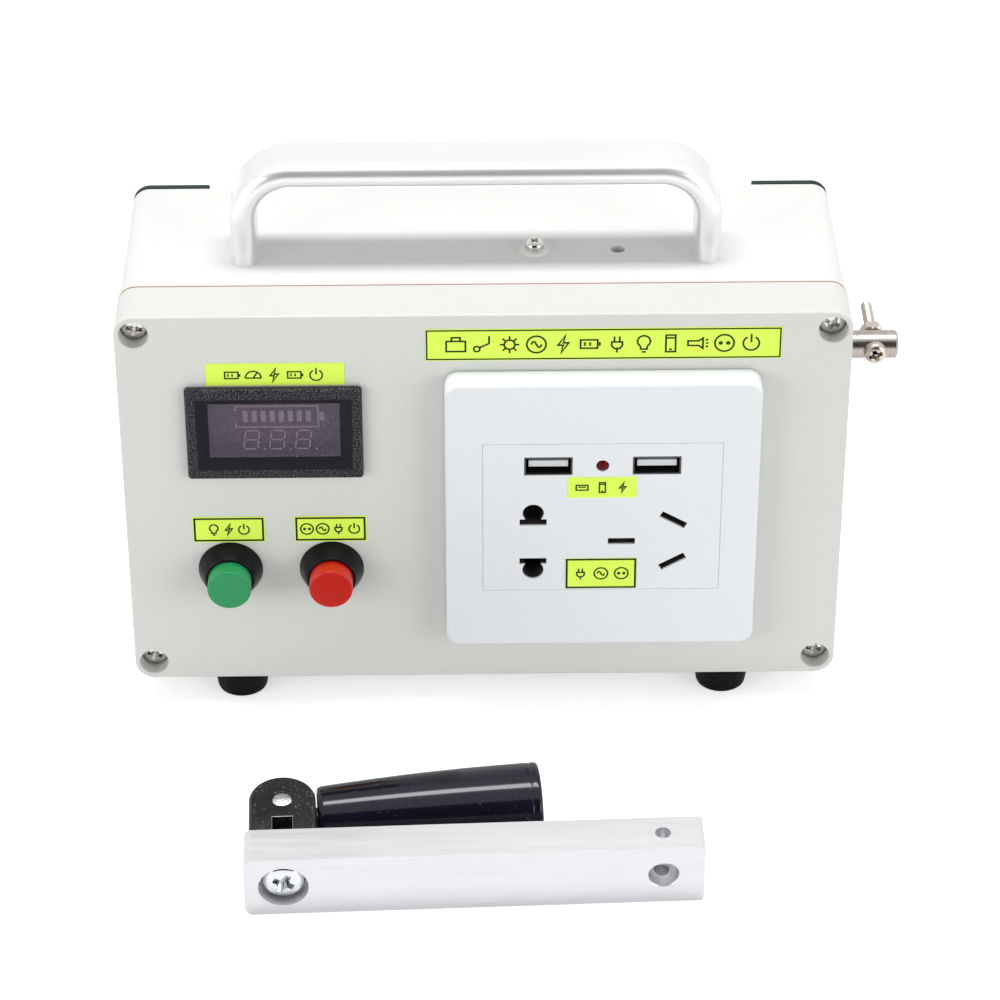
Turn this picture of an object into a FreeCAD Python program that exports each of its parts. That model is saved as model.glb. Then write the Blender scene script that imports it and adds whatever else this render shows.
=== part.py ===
"""A hand crank generator: a plastic case with its outlets, meter, battery and generator, and a loose crank.

Lengths are millimetres. +X is to the right, +Y to the back and +Z up. The origin is on the floor, at the
centre of the footprint that the case and the crank lying in front of it take up together.
"""
import FreeCAD, Part
import math
import os
import re

from FreeCAD import Rotation, Vector
from fcgear import fcgear, involute

doc = FreeCAD.newDocument("HandCrankGenerator")
sheet = doc.addObject("Spreadsheet::Sheet", "Sizes")
nodes = []


# ---------------------------------------------------------------- the sheet of sizes

SIZES = {
    # Case
    "case_width": 200,
    "case_height": 120,
    "case_depth": 73.5,
    "case_wall": 2.5,
    "case_corner": 5.5,
    "lid_depth": 16.2,
    "lid_edge": 0.5,
    "gasket_depth": 0.6,
    "gasket_inset": 0.3,
    "rear_inset": 0.5,
    "rear_edge": 1,
    "post_size": 11,
    "running_gap": 0.05,
    "fit_gap": 0.2,
    # Lid screws
    "lid_screw_inset_x": 5.4,
    "lid_screw_inset_z": 5.65,
    "lid_sink_radius": 4,
    "lid_sink_depth": 6,
    "lid_sink_chamfer": 0.3,
    "lid_screw_radius": 1.75,
    "lid_screw_length": 16,
    "lid_screw_head_radius": 3.7,
    "lid_screw_head_height": 2.4,
    # Feet and corner pads
    "foot_height": 8,
    "foot_top_radius": 8.3,
    "foot_low_radius": 7,
    "foot_offset_x": -0.85,
    "foot_x": 69.25,
    "foot_inset_y": 8.3,
    "foot_stem_radius": 2,
    "foot_dish_radius": 3.5,
    "foot_dish_depth": 2,
    "pad_size": 22,
    "pad_thickness": 2,
    # Carrying handle
    "handle_spacing": 128,
    "handle_offset_x": -1.75,
    "handle_y": 36.5,
    "handle_width": 18,
    "handle_thickness": 7,
    "handle_height": 30.5,
    "handle_bend": 13.5,
    "handle_screw_radius": 2,
    "handle_screw_length": 14,
    "handle_screw_head_radius": 3.6,
    "handle_screw_head_height": 2.6,
    # Screw and spare hole on the top
    "top_screw_x": 14.5,
    "top_screw_y": 36.2,
    "top_hole_spacing": 23.1,
    "top_hole_radius": 2.05,
    "top_screw_radius": 1.5,
    "top_screw_length": 8,
    "top_screw_head_radius": 2.6,
    "top_screw_head_height": 2.2,
    "top_washer_radius": 4.3,
    "top_washer_thickness": 0.8,
    # Battery meter
    "meter_x": -57.5,
    "meter_drop": 36.2,
    "meter_width": 48.4,
    "meter_height": 29,
    "meter_proud": 2.5,
    "meter_body_width": 45.5,
    "meter_body_height": 26.5,
    "meter_body_depth": 12,
    "meter_corner": 1,
    "meter_mouth_width": 42.4,
    "meter_mouth_height": 22.8,
    "window_width": 36,
    "window_height": 17.2,
    "window_rise": 0.7,
    "window_recess": 1.3,
    "window_thickness": 1.2,
    "meter_board_thickness": 1.6,
    "meter_board_gap": 4,
    # Push switches
    "green_x": -71.4,
    "red_x": -43,
    "switch_drop": 82.2,
    "collar_radius": 9.15,
    "collar_rim_radius": 6.9,
    "collar_height": 5.8,
    "barrel_radius": 7,
    "barrel_length": 19,
    "cap_radius": 6.1,
    "cap_proud": 10.9,
    "cap_length": 6.6,
    "cap_edge": 0.5,
    "cap_stem_radius": 1.6,
    "press_travel": 3,
    "spring_radius": 3.4,
    "spring_wire_radius": 0.35,
    "spring_turns": 4,
    "spring_bore_radius": 4.3,
    "spring_seat": 8,
    "switch_nut_radius": 9.5,
    "switch_nut_thickness": 2.5,
    # Labels
    "label_thickness": 0.2,
    "title_x": 32.4,
    "title_gap": 3.35,
    "title_width": 96.6,
    "title_height": 9.8,
    "meter_label_x": -56.8,
    "meter_label_gap": 0.15,
    "meter_label_width": 37.7,
    "meter_label_height": 6.9,
    "switch_label_gap": 0.05,
    "lamp_label_width": 20.2,
    "lamp_label_height": 8.4,
    "usb_label_rise": 10.05,
    "usb_label_width": 18.9,
    "usb_label_height": 6.6,
    "mains_label_drop": 18.65,
    "mains_label_width": 19.8,
    "mains_label_height": 10.1,
    # Socket plate
    "plate_x": 32.4,
    "plate_drop": 60.8,
    "plate_size": 86.5,
    "plate_proud": 7.7,
    "plate_corner": 4,
    "plate_edge": 1.2,
    "plate_wall": 2.2,
    "plate_gap_depth": 0.5,
    "plate_gap_inset": 1,
    "mouth_wall": 0.7,
    "groove_width": 65.7,
    "groove_height": 48.2,
    "groove_gap": 0.2,
    "groove_depth": 0.2,
    "housing_width": 54,
    "housing_height": 47,
    "housing_depth": 17,
    "flange_width": 74,
    "flange_height": 60,
    "flange_thickness": 2,
    "plate_screw_spacing": 60.3,
    "plate_screw_radius": 1.75,
    "plate_screw_length": 9,
    "plate_screw_head_radius": 3,
    "plate_screw_head_height": 1.8,
    # Outlets
    "usb_offset_x": 14.9,
    "usb_offset_z": 17,
    "usb_width": 13.2,
    "usb_height": 5.7,
    "usb_depth": 13.5,
    "usb_wall": 0.4,
    "usb_tongue_width": 10.8,
    "usb_tongue_height": 1.9,
    "usb_tongue_depth": 12.6,
    "usb_tongue_drop": 0.4,
    "usb_board_width": 46,
    "usb_board_height": 12,
    "usb_board_thickness": 1.6,
    "led_radius": 1.75,
    "led_length": 9,
    "slot_width": 2,
    "flat_slot_length": 7.5,
    "live_slot_length": 8,
    "live_slot_lean": 30,
    "live_offset_x": 19.85,
    "live_offset_z": 6.95,
    "live_drop_z": -8,
    "earth_offset_x": 5.55,
    "pin_offset_x": -19,
    "pin_radius": 2.95,
    "pin_slot_half_pitch": 6.5,
    "pin_round_half_pitch": 9.45,
    "well_depth": 13,
    "contact_thickness": 0.8,
    "contact_depth": 6,
    # Drive shaft and its cross bolt
    "drive_y": 39,
    "drive_drop": 33.7,
    "shaft_radius": 4,
    "shaft_reach": 17.5,
    "shaft_chamfer": 0.6,
    "wall_hole_radius": 5.5,
    "bolt_from_wall": 10.9,
    "bolt_radius": 1.65,
    "bolt_length": 26.6,
    "bolt_head_radius": 3.2,
    "bolt_head_height": 2.5,
    "bolt_nut_radius": 3.65,
    "bolt_nut_thickness": 3.4,
    # Gearbox and generator
    "gear_module": 0.8,
    "sun_teeth": 12,
    "planet_teeth": 15,
    "gear_thinning": 0.05,
    "gear_face": 7.5,
    "gear_side_gap": 0.5,
    "ring_wall": 3.2,
    "bearing_radius": 8,
    "bearing_width": 5,
    "gearbox_face_thickness": 7,
    "carrier_thickness": 3.5,
    "planet_pin_radius": 2,
    "box_screw_circle": 15.5,
    "box_screw_radius": 1.5,
    "box_screw_length": 8,
    "box_screw_head_radius": 2.8,
    "box_screw_head_height": 2,
    "can_length": 42,
    "can_wall": 1.5,
    "can_end_thickness": 2.5,
    "magnet_thickness": 4,
    "magnet_length": 30,
    "magnet_span": 140,
    "air_gap": 0.6,
    "core_length": 26,
    "core_slot_width": 3,
    "core_slot_depth": 7,
    "core_slots": 5,
    "rotor_radius": 2,
    "end_cap_thickness": 4,
    # Battery and boards
    "cell_radius": 9.2,
    "cell_length": 65,
    "cell_pitch": 18.8,
    "tray_gap": 2.5,
    "tray_y": 46,
    "tray_wall": 1.5,
    "tray_height": 14,
    "board_gap": 5.5,
    "board_y": 45,
    "board_length": 78,
    "board_width": 46,
    "board_thickness": 1.6,
    "standoff_height": 6,
    "standoff_radius": 3,
    "standoff_inset": 4,
    "coil_inset": 20,
    "coil_length": 24,
    "coil_width": 20,
    "coil_height": 18,
    "coil_core_width": 8,
    "capacitor_radius": 5,
    "capacitor_height": 20,
    "capacitor_pitch": 12,
    "capacitor_inset": 9,
    # Lamp on the left side
    "lamp_y": 46,
    "lamp_drop": 36,
    "lamp_radius": 12,
    "lamp_flange_radius": 13.5,
    "lamp_flange_thickness": 1.5,
    "lamp_depth": 6,
    "lamp_wall": 1.2,
    "lamp_board_thickness": 1.6,
    # Crank bar
    "bar_length": 122.5,
    "bar_height": 19.5,
    "bar_depth": 12,
    "bar_corner": 2.5,
    "bar_end_corner": 1,
    "crank_screw_x": 10.5,
    "crank_radius": 101,
    "crank_bore_radius": 4.05,
    "crank_bore_chamfer": 0.2,
    "cross_hole_radius": 2.1,
    "crank_sink_radius": 6.7,
    "crank_sink_depth": 5,
    "crank_screw_radius": 3,
    "crank_screw_length": 11,
    "crank_screw_head_radius": 6,
    "crank_screw_head_height": 3.8,
    "crank_gap": 96,
    "crank_left": -65,
    "crank_yaw": 2,
    # Folding grip
    "clevis_radius": 9,
    "pivot_from_bar": 12.8,
    "clevis_edge": 1,
    "tongue_thickness": 6.8,
    "tongue_radius": 7.5,
    "slot_side_gap": 0.1,
    "slot_end_gap": 0.9,
    "notch_width": 5.5,
    "notch_depth": 5.8,
    "fold_pin_radius": 2.85,
    "fold_pin_inset": 0.1,
    "grip_angle": 3,
    "grip_start": 9.4,
    "grip_length": 60.35,
    "grip_small_radius": 9.2,
    "grip_big_radius": 12,
    "grip_edge": 1,
    "spindle_radius": 3.5,
    "spindle_gap": 0.3,
    "grip_recess_radius": 6,
    "grip_recess_depth": 7,
    "grip_screw_radius": 2,
    "grip_screw_length": 10,
    "grip_screw_head_radius": 5,
    "grip_screw_head_height": 3,
    # Cross recess in a screw head, as shares of the head
    "recess_span": 1.3,
    "recess_width": 0.28,
    "recess_depth": 0.6,
    "dome_share": 0.45,
    "dome_radius": 0.72,
}

# Sizes worked out from those above
DERIVED = {
    "meter_z": "case_height - meter_drop",
    "switch_z": "case_height - switch_drop",
    "plate_z": "case_height - plate_drop",
    "drive_z": "case_height - drive_drop",
    "lamp_z": "case_height - lamp_drop",
    "title_z": "plate_z + plate_size / 2 + title_gap + title_height / 2",
    "meter_label_z": "meter_z + meter_height / 2 + meter_label_gap + meter_label_height / 2",
    "lamp_label_z": "switch_z + collar_radius + switch_label_gap + lamp_label_height / 2",
    "usb_label_z": "plate_z + usb_label_rise",
    "mains_label_z": "plate_z - mains_label_drop",
    "insert_y": "mouth_wall - plate_proud",
    "ring_teeth": "sun_teeth + 2 * planet_teeth",
    "gear_centres": "gear_module * (sun_teeth + planet_teeth) / 2",
    "ring_root_radius": "gear_module * (ring_teeth / 2 + 1.25)",
    "box_radius": "ring_root_radius + ring_wall",
    "wall_inside_x": "case_width / 2 - rear_inset - case_wall",
    "ring_length": "carrier_thickness + gear_face + 3 * gear_side_gap",
    "ring_right_x": "wall_inside_x - gearbox_face_thickness",
    "ring_left_x": "ring_right_x - ring_length",
    "can_left_x": "ring_left_x - can_length",
    "can_bore": "box_radius - can_wall",
    "core_radius": "can_bore - magnet_thickness - air_gap",
    "bolt_x": "case_width / 2 + bolt_from_wall",
    "post_reach": "rear_inset + post_size",
    "tray_x": "post_reach + tray_gap + cell_length / 2 + tray_wall - case_width / 2",
    "board_x": "case_width / 2 - post_reach - board_gap - board_length / 2",
    "pivot_y": "bar_depth + pivot_from_bar",
    "grip_end": "grip_start + grip_length",
    "grip_rise": "grip_big_radius - bar_height / 2",
    "crank_tilt": "asin(grip_rise / (pivot_y + grip_end * sin(1deg * grip_angle))) / 1deg",
    "case_x": "(lamp_flange_thickness - rear_inset - shaft_reach) / 2",
    "crank_lean": "bar_height * sin(1deg * crank_tilt)",
    "front_y": "(crank_gap + crank_lean - case_depth - pad_thickness) / 2",
    "cavity_corner": "case_corner - case_wall",
    "rear_corner": "case_corner - rear_inset",
}

for row, (alias, value) in enumerate(SIZES.items(), 1):
    sheet.set(f"A{row}", alias)
    sheet.set(f"B{row}", str(value))
    sheet.setAlias(f"B{row}", alias)
for row, (alias, formula) in enumerate(DERIVED.items(), 1):
    sheet.set(f"D{row}", alias)
    sheet.set(f"E{row}", "=" + formula)
    sheet.setAlias(f"E{row}", alias)
doc.recompute()


def size(alias):
    """The value of one named size, as a plain number."""
    value = sheet.get(alias)
    return float(getattr(value, "Value", value))


ALIAS_WORDS = re.compile(r"\b(" + "|".join([*SIZES, *DERIVED]) + r")\b")


def tied(text):
    """An expression in which each named size points to its cell."""
    return ALIAS_WORDS.sub(r"Sizes.\1", str(text))


# ---------------------------------------------------------------- frames and directions

TO_X = "rotation(vector(0; 1; 0); 90)"
TO_LEFT = "rotation(vector(0; 1; 0); -90)"
TO_BACK = "rotation(vector(1; 0; 0); -90)"
TO_FRONT = "rotation(vector(1; 0; 0); 90)"
TO_FLOOR = "rotation(vector(1; 0; 0); 180)"
UPRIGHT = "rotation(vector(0; 0; 1); 0)"

CASE = f"placement(vector(case_x; front_y; foot_height); {UPRIGHT})"
CRANK = ("placement(vector(case_x + crank_left; front_y - crank_gap; 0);"
         " rotation(vector(0; 0; 1); crank_yaw) * rotation(vector(1; 0; 0); crank_tilt))")
GRIP = (CRANK + " * placement(vector(crank_screw_x; pivot_y; bar_height / 2);"
        " rotation(vector(0; 0; 1); grip_angle))")


# ---------------------------------------------------------------- small makers

def place(item, spot, turn=UPRIGHT):
    """Tie an object's place and direction to the sheet."""
    across, along, up = spot
    item.setExpression("Placement", tied(f"placement(vector({across}; {along}; {up}); {turn})"))
    return item


def primitive(kind, name, spot, turn, **tied_sizes):
    """A Part primitive whose sizes and place are tied to the sheet."""
    item = doc.addObject(kind, name)
    for field, value in tied_sizes.items():
        item.setExpression(field, tied(value))
    return place(item, spot, turn)


def box(name, spot, length, depth, height, turn=UPRIGHT):
    """A box that starts at its spot."""
    return primitive("Part::Box", name, spot, turn, Length=length, Width=depth, Height=height)


def centred_box(name, middle, length, depth, height, turn=UPRIGHT):
    """A box about its middle in X and Z, which starts at its front in Y."""
    across, along, up = middle
    spot = (f"{across} - ({length}) / 2", along, f"{up} - ({height}) / 2")
    return box(name, spot, length, depth, height, turn)


def rod(name, spot, radius, length, turn=UPRIGHT):
    """A round rod that starts at its spot."""
    return primitive("Part::Cylinder", name, spot, turn, Radius=radius, Height=length)


def cone(name, spot, radius, end_radius, length, turn=UPRIGHT):
    """A cone that starts at its spot."""
    return primitive("Part::Cone", name, spot, turn, Radius1=radius, Radius2=end_radius, Height=length)


def hexagon(name, spot, radius, length, turn=UPRIGHT):
    """A hexagonal prism that starts at its spot."""
    item = primitive("Part::Prism", name, spot, turn, Circumradius=radius, Height=length)
    item.Polygon = 6
    return item


def fused(name, *items):
    """Several objects joined into one solid."""
    item = doc.addObject("Part::MultiFuse", name)
    item.Shapes = list(items)
    item.Refine = True
    return item


def cut(name, base, *tools):
    """A base with tools taken away."""
    item = doc.addObject("Part::Cut", name)
    item.Base = base
    item.Tool = tools[0] if len(tools) == 1 else grouped(name + "_tools", *tools)
    item.Refine = True
    return item


def grouped(name, *items):
    """Separate solids kept together."""
    item = doc.addObject("Part::Compound", name)
    item.Links = list(items)
    return item


def common(name, *items):
    """What two objects share."""
    item = doc.addObject("Part::MultiCommon", name)
    item.Shapes = list(items)
    return item


def edge_direction(edge):
    """The letter of the axis that a straight edge runs along, or an empty text."""
    if not isinstance(edge.Curve, Part.Line):
        return ""
    direction = edge.Curve.Direction
    for letter, share in zip("XYZ", direction):
        if abs(abs(share) - 1) < 1e-6:
            return letter
    return ""


def rounded(name, base, radius, chosen):
    """A base whose chosen edges are rounded to a radius of the sheet."""
    doc.recompute()
    item = doc.addObject("Part::Fillet", name)
    item.Base = base
    edges = [i for i, edge in enumerate(base.Shape.Edges, 1) if chosen(edge)]
    item.Edges = [(i, size(radius), size(radius)) for i in edges]
    return item


def along(letter):
    """A chooser of the straight edges along one axis."""
    return lambda edge: edge_direction(edge) == letter


def in_plane(axis, place_of):
    """A chooser of the edges that lie in one plane across an axis."""
    def chosen(edge):
        box_of = edge.BoundBox
        low = (box_of.XMin, box_of.YMin, box_of.ZMin)[axis]
        high = (box_of.XMax, box_of.YMax, box_of.ZMax)[axis]
        return abs(low - place_of) < 1e-4 and abs(high - place_of) < 1e-4
    return chosen


def node(item, name, frame=CASE):
    """Give a finished sub-part its name and stand it in its frame."""
    if item.TypeId in ("Part::Box", "Part::Cylinder", "Part::Cone", "Part::Prism", "Part::Torus"):
        item = grouped(name + "_piece", item)
    item.Label = name
    item.setExpression("Placement", tied(frame))
    nodes.append(item)
    return item


def screw(name, spot, turn, kind, cross=True):
    """A pan-head screw: its head stands on the spot and its shank goes the other way."""
    head, radius = f"{kind}_head_radius", f"{kind}_radius"
    tall, length = f"{kind}_head_height", f"{kind}_length"
    skirt = rod(name + "_skirt", ("0", "0", "0"), head, f"{tall} * (1 - dome_share)")
    dome = cone(name + "_dome", ("0", "0", f"{tall} * (1 - dome_share)"), head, f"{head} * dome_radius",
                f"{tall} * dome_share")
    shank = rod(name + "_shank", ("0", "0", f"-{length}"), radius, length)
    made = fused(name + "_blank", skirt, dome, shank)
    if cross:
        span, width = f"{head} * recess_span", f"{head} * recess_width"
        low = f"{tall} * (1 - recess_depth)"
        one = box(name + "_slot_a", (f"-{span} / 2", f"-{width} / 2", low), span, width, tall)
        two = box(name + "_slot_b", (f"-{width} / 2", f"-{span} / 2", low), width, span, tall)
        made = cut(name + "_crossed", made, one, two)
    return place(made, spot, turn)


def lying_ring(name, spot, radius, hole, length, turn):
    """A plain ring."""
    outer = rod(name + "_outer", spot, radius, length, turn)
    inner = rod(name + "_inner", spot, hole, length, turn)
    return cut(name + "_ring", outer, inner)


CORNERS = ((-1, 1), (1, 1), (-1, -1), (1, -1))


# ---------------------------------------------------------------- case

def slab(name, inset, y_from, y_to, corner):
    """A block of the case's outline, inset all round, with its corners rounded."""
    block = centred_box(name + "_block", ("0", y_from, "case_height / 2"), f"case_width - 2 * ({inset})",
                        f"{y_to} - ({y_from})", f"case_height - 2 * ({inset})")
    return rounded(name + "_round", block, corner, along("Y"))


def corner_posts(name, inset, y_from, y_to):
    """Square posts in the case's four corners, which the lid screws go through."""
    posts = []
    for number, (side, end) in enumerate(CORNERS):
        middle = (f"{side} * (case_width / 2 - {inset} - post_size / 2)", y_from,
                  f"case_height / 2 + {end} * (case_height / 2 - {inset} - post_size / 2)")
        posts.append(centred_box(f"{name}_{number}", middle, "post_size", f"{y_to} - ({y_from})",
                                 "post_size"))
    return posts


def lid_screw_spot(side, end, y_at):
    """Where one corner screw crosses a plane."""
    return (f"{side} * (case_width / 2 - lid_screw_inset_x)", y_at,
            f"case_height / 2 + {end} * (case_height / 2 - lid_screw_inset_z)")


def make_lid():
    shell = slab("lid_shell", "0", "0", "lid_depth", "case_corner")
    doc.recompute()
    shell = rounded("lid_soft_front", shell, "lid_edge", in_plane(1, 0))
    hollow = slab("lid_hollow", "case_wall", "case_wall", "lid_depth", "cavity_corner")
    hollow = cut("lid_hollow_free", hollow, *corner_posts("lid_post", "0", "0", "lid_depth"))
    tools = [hollow]
    for number, (side, end) in enumerate(CORNERS):
        tools.append(rod(f"lid_sink_{number}", lid_screw_spot(side, end, "0"), "lid_sink_radius",
                         "lid_sink_depth", TO_BACK))
        tools.append(cone(f"lid_sink_mouth_{number}", lid_screw_spot(side, end, "0"),
                          "lid_sink_radius + lid_sink_chamfer", "lid_sink_radius", "lid_sink_chamfer",
                          TO_BACK))
        tools.append(rod(f"lid_hole_{number}", lid_screw_spot(side, end, "0"),
                         "lid_screw_radius + running_gap", "lid_depth", TO_BACK))
    tools.append(centred_box("meter_cutout", ("meter_x", "0", "meter_z"), "meter_body_width + 2 * fit_gap",
                             "lid_depth", "meter_body_height + 2 * fit_gap"))
    tools.append(centred_box("socket_cutout", ("plate_x", "0", "plate_z"), "housing_width + 2 * fit_gap",
                             "lid_depth", "housing_height + 2 * fit_gap"))
    for name in ("green_x", "red_x"):
        tools.append(rod(f"{name}_cutout", (name, "0", "switch_z"), "barrel_radius + fit_gap", "lid_depth",
                         TO_BACK))
    for side in (-1, 1):
        tools.append(rod(f"plate_screw_hole_{side + 1}",
                         (f"plate_x + {side} * plate_screw_spacing / 2", "0", "plate_z"),
                         "plate_screw_radius + running_gap", "lid_depth", TO_BACK))
        tools.append(rod(f"front_foot_hole_{side + 1}",
                         (f"foot_offset_x + {side} * foot_x", "foot_inset_y", "0"), "foot_stem_radius",
                         "case_wall"))
    node(cut("lid", shell, *tools), "front_lid")


def make_gasket():
    outer = slab("gasket_outer", "gasket_inset", "lid_depth", "lid_depth + gasket_depth", "rear_corner")
    inner = slab("gasket_inner", "case_wall", "lid_depth", "lid_depth + gasket_depth", "cavity_corner")
    node(cut("gasket", outer, inner), "lid_gasket")


def make_rear_case():
    front = "lid_depth + gasket_depth"
    shell = slab("rear_shell", "rear_inset", front, "case_depth", "rear_corner")
    doc.recompute()
    shell = rounded("rear_soft_back", shell, "rear_edge", in_plane(1, size("case_depth")))
    hollow = slab("rear_hollow", "rear_inset + case_wall", front, "case_depth - case_wall", "cavity_corner")
    hollow = cut("rear_hollow_free", hollow, *corner_posts("rear_post", "rear_inset", front, "case_depth"))
    tools = []
    for number, (side, end) in enumerate(CORNERS):
        tools.append(rod(f"rear_pilot_{number}", lid_screw_spot(side, end, front),
                         "lid_screw_radius + running_gap", "lid_screw_length", TO_BACK))
    for side in (-1, 1):
        tools.append(rod(f"handle_hole_{side + 1}",
                         (f"handle_offset_x + {side} * handle_spacing / 2", "handle_y",
                          "case_height - 2 * case_wall"),
                         "handle_screw_radius + running_gap", "3 * case_wall"))
        tools.append(rod(f"rear_foot_hole_{side + 1}",
                         (f"foot_offset_x + {side} * foot_x", "case_depth - foot_inset_y", "0"),
                         "foot_stem_radius", "rear_inset + case_wall"))
    tools.append(rod("top_screw_hole", ("top_screw_x", "top_screw_y", "case_height - 2 * case_wall"),
                     "top_screw_radius + running_gap", "3 * case_wall"))
    tools.append(rod("top_spare_hole", ("top_screw_x + top_hole_spacing", "top_screw_y",
                                        "case_height - 2 * case_wall"), "top_hole_radius", "3 * case_wall"))
    tools.append(rod("shaft_wall_hole", ("wall_inside_x - 1", "drive_y", "drive_z"), "wall_hole_radius",
                     "2 * case_wall", TO_X))
    for number in range(4):
        tools.append(rod(f"box_screw_hole_{number}", box_screw_spot(number, "wall_inside_x - 1"),
                         "box_screw_radius + running_gap", "2 * case_wall", TO_X))
    tools.append(rod("lamp_hole", ("-case_width / 2", "lamp_y", "lamp_z"), "lamp_radius + running_gap",
                     "2 * case_wall", TO_X))
    walls = cut("rear_walls", shell, hollow)
    posts = []
    for across, deep in CORNERS:
        posts.append(rod(f"standoff_{across + 1}_{deep + 1}",
                         (f"board_x + {across} * (board_length / 2 - standoff_inset)",
                          f"board_y + {deep} * (board_width / 2 - standoff_inset)", "rear_inset"),
                         "standoff_radius", "case_wall + standoff_height"))
    walls = fused("rear_walls_with_posts", walls, *posts)
    node(cut("rear", walls, *tools), "rear_case")


def box_screw_spot(number, x_at):
    """Where one of the gearbox's screws crosses a plane of the side wall."""
    turn = 45 + 90 * number
    return (x_at, f"drive_y + box_screw_circle * cos({turn}deg)",
            f"drive_z + box_screw_circle * sin({turn}deg)")


def make_case_fasteners():
    lid_screws = [screw(f"lid_screw_{n}", lid_screw_spot(side, end, "lid_sink_depth"), TO_FRONT, "lid_screw")
                  for n, (side, end) in enumerate(CORNERS)]
    node(grouped("lid_screw_set", *lid_screws), "lid_screws")
    head_z = "case_height - rear_inset - case_wall"
    handle_screws = [screw(f"handle_screw_{side + 1}",
                           (f"handle_offset_x + {side} * handle_spacing / 2", "handle_y", head_z), TO_FLOOR,
                           "handle_screw") for side in (-1, 1)]
    node(grouped("handle_screw_set", *handle_screws), "handle_screws")
    wall_x = "case_width / 2 - rear_inset"
    box_screws = [screw(f"box_screw_{n}", box_screw_spot(n, wall_x), TO_X, "box_screw") for n in range(4)]
    node(grouped("box_screw_set", *box_screws), "gearbox_screws")
    top = "case_height - rear_inset"
    washer = lying_ring("washer", ("top_screw_x", "top_screw_y", top), "top_washer_radius",
                        "top_screw_radius + running_gap", "top_washer_thickness", UPRIGHT)
    node(washer, "top_washer")
    top_screw = screw("top_fixing", ("top_screw_x", "top_screw_y", f"{top} + top_washer_thickness"), UPRIGHT,
                      "top_screw")
    node(grouped("top_screw_set", top_screw), "top_screw")


def make_feet():
    feet = []
    for side in (-1, 1):
        for number, along_y, wall in ((0, "foot_inset_y", "case_wall"),
                                      (1, "case_depth - foot_inset_y", "rear_inset + case_wall")):
            name = f"foot_{side + 1}_{number}"
            spot = (f"foot_offset_x + {side} * foot_x", along_y, "-foot_height")
            block = cone(name + "_block", spot, "foot_low_radius", "foot_top_radius", "foot_height")
            stem = rod(name + "_stem", (spot[0], along_y, "0"), "foot_stem_radius", wall)
            dish = rod(name + "_dish", spot, "foot_dish_radius", "foot_dish_depth")
            feet.append(cut(name, fused(name + "_whole", block, stem), dish))
    node(grouped("foot_set", *feet), "rubber_feet")


def make_corner_pads():
    band = slab("pad_band", "rear_inset", "case_depth", "case_depth + pad_thickness", "rear_corner")
    blocks = []
    for number, (side, end) in enumerate(CORNERS):
        middle = (f"{side} * (case_width / 2 - rear_inset - pad_size / 2)", "case_depth",
                  f"case_height / 2 + {end} * (case_height / 2 - rear_inset - pad_size / 2)")
        blocks.append(centred_box(f"pad_block_{number}", middle, "pad_size", "pad_thickness", "pad_size"))
    node(common("pad_set", band, grouped("pad_blocks", *blocks)), "corner_pads")


# ---------------------------------------------------------------- carrying handle

def make_handle():
    """A bent flat-oval bar: its section is swept up one leg, over and down the other."""
    half, tall = size("handle_spacing") / 2, size("handle_height") - size("handle_thickness") / 2
    bend, width, thick = size("handle_bend"), size("handle_width"), size("handle_thickness")
    slope = bend * (1 - math.sqrt(0.5))
    path = [
        Part.LineSegment(Vector(-half, 0, 0), Vector(-half, 0, tall - bend)),
        Part.Arc(Vector(-half, 0, tall - bend), Vector(-half + slope, 0, tall - slope),
                 Vector(-half + bend, 0, tall)),
        Part.LineSegment(Vector(-half + bend, 0, tall), Vector(half - bend, 0, tall)),
        Part.Arc(Vector(half - bend, 0, tall), Vector(half - slope, 0, tall - slope),
                 Vector(half, 0, tall - bend)),
        Part.LineSegment(Vector(half, 0, tall - bend), Vector(half, 0, 0)),
    ]
    flat, round_radius = width / 2 - thick / 2, thick / 2
    outline = [
        Part.LineSegment(Vector(-half - round_radius, -flat, 0), Vector(-half - round_radius, flat, 0)),
        Part.Arc(Vector(-half - round_radius, flat, 0), Vector(-half, flat + round_radius, 0),
                 Vector(-half + round_radius, flat, 0)),
        Part.LineSegment(Vector(-half + round_radius, flat, 0), Vector(-half + round_radius, -flat, 0)),
        Part.Arc(Vector(-half + round_radius, -flat, 0), Vector(-half, -flat - round_radius, 0),
                 Vector(-half - round_radius, -flat, 0)),
    ]
    spine = doc.addObject("Part::Feature", "handle_path")
    spine.Shape = Part.Wire([piece.toShape() for piece in path])
    section = doc.addObject("Part::Feature", "handle_section")
    section.Shape = Part.Wire([piece.toShape() for piece in outline])
    sweep = doc.addObject("Part::Sweep", "handle_bar")
    sweep.Sections = [section]
    sweep.Spine = (spine, [f"Edge{i}" for i in range(1, len(path) + 1)])
    sweep.Solid = True
    holes = [rod(f"handle_thread_{side + 1}", (f"{side} * handle_spacing / 2", "0", "0"),
                 "handle_screw_radius + running_gap", "handle_screw_length", UPRIGHT) for side in (-1, 1)]
    bar = cut("handle", sweep, *holes)
    frame = (CASE + " * placement(vector(handle_offset_x; handle_y; case_height - rear_inset);"
             f" {UPRIGHT})")
    node(bar, "carry_handle", frame)


# ---------------------------------------------------------------- battery meter

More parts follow.
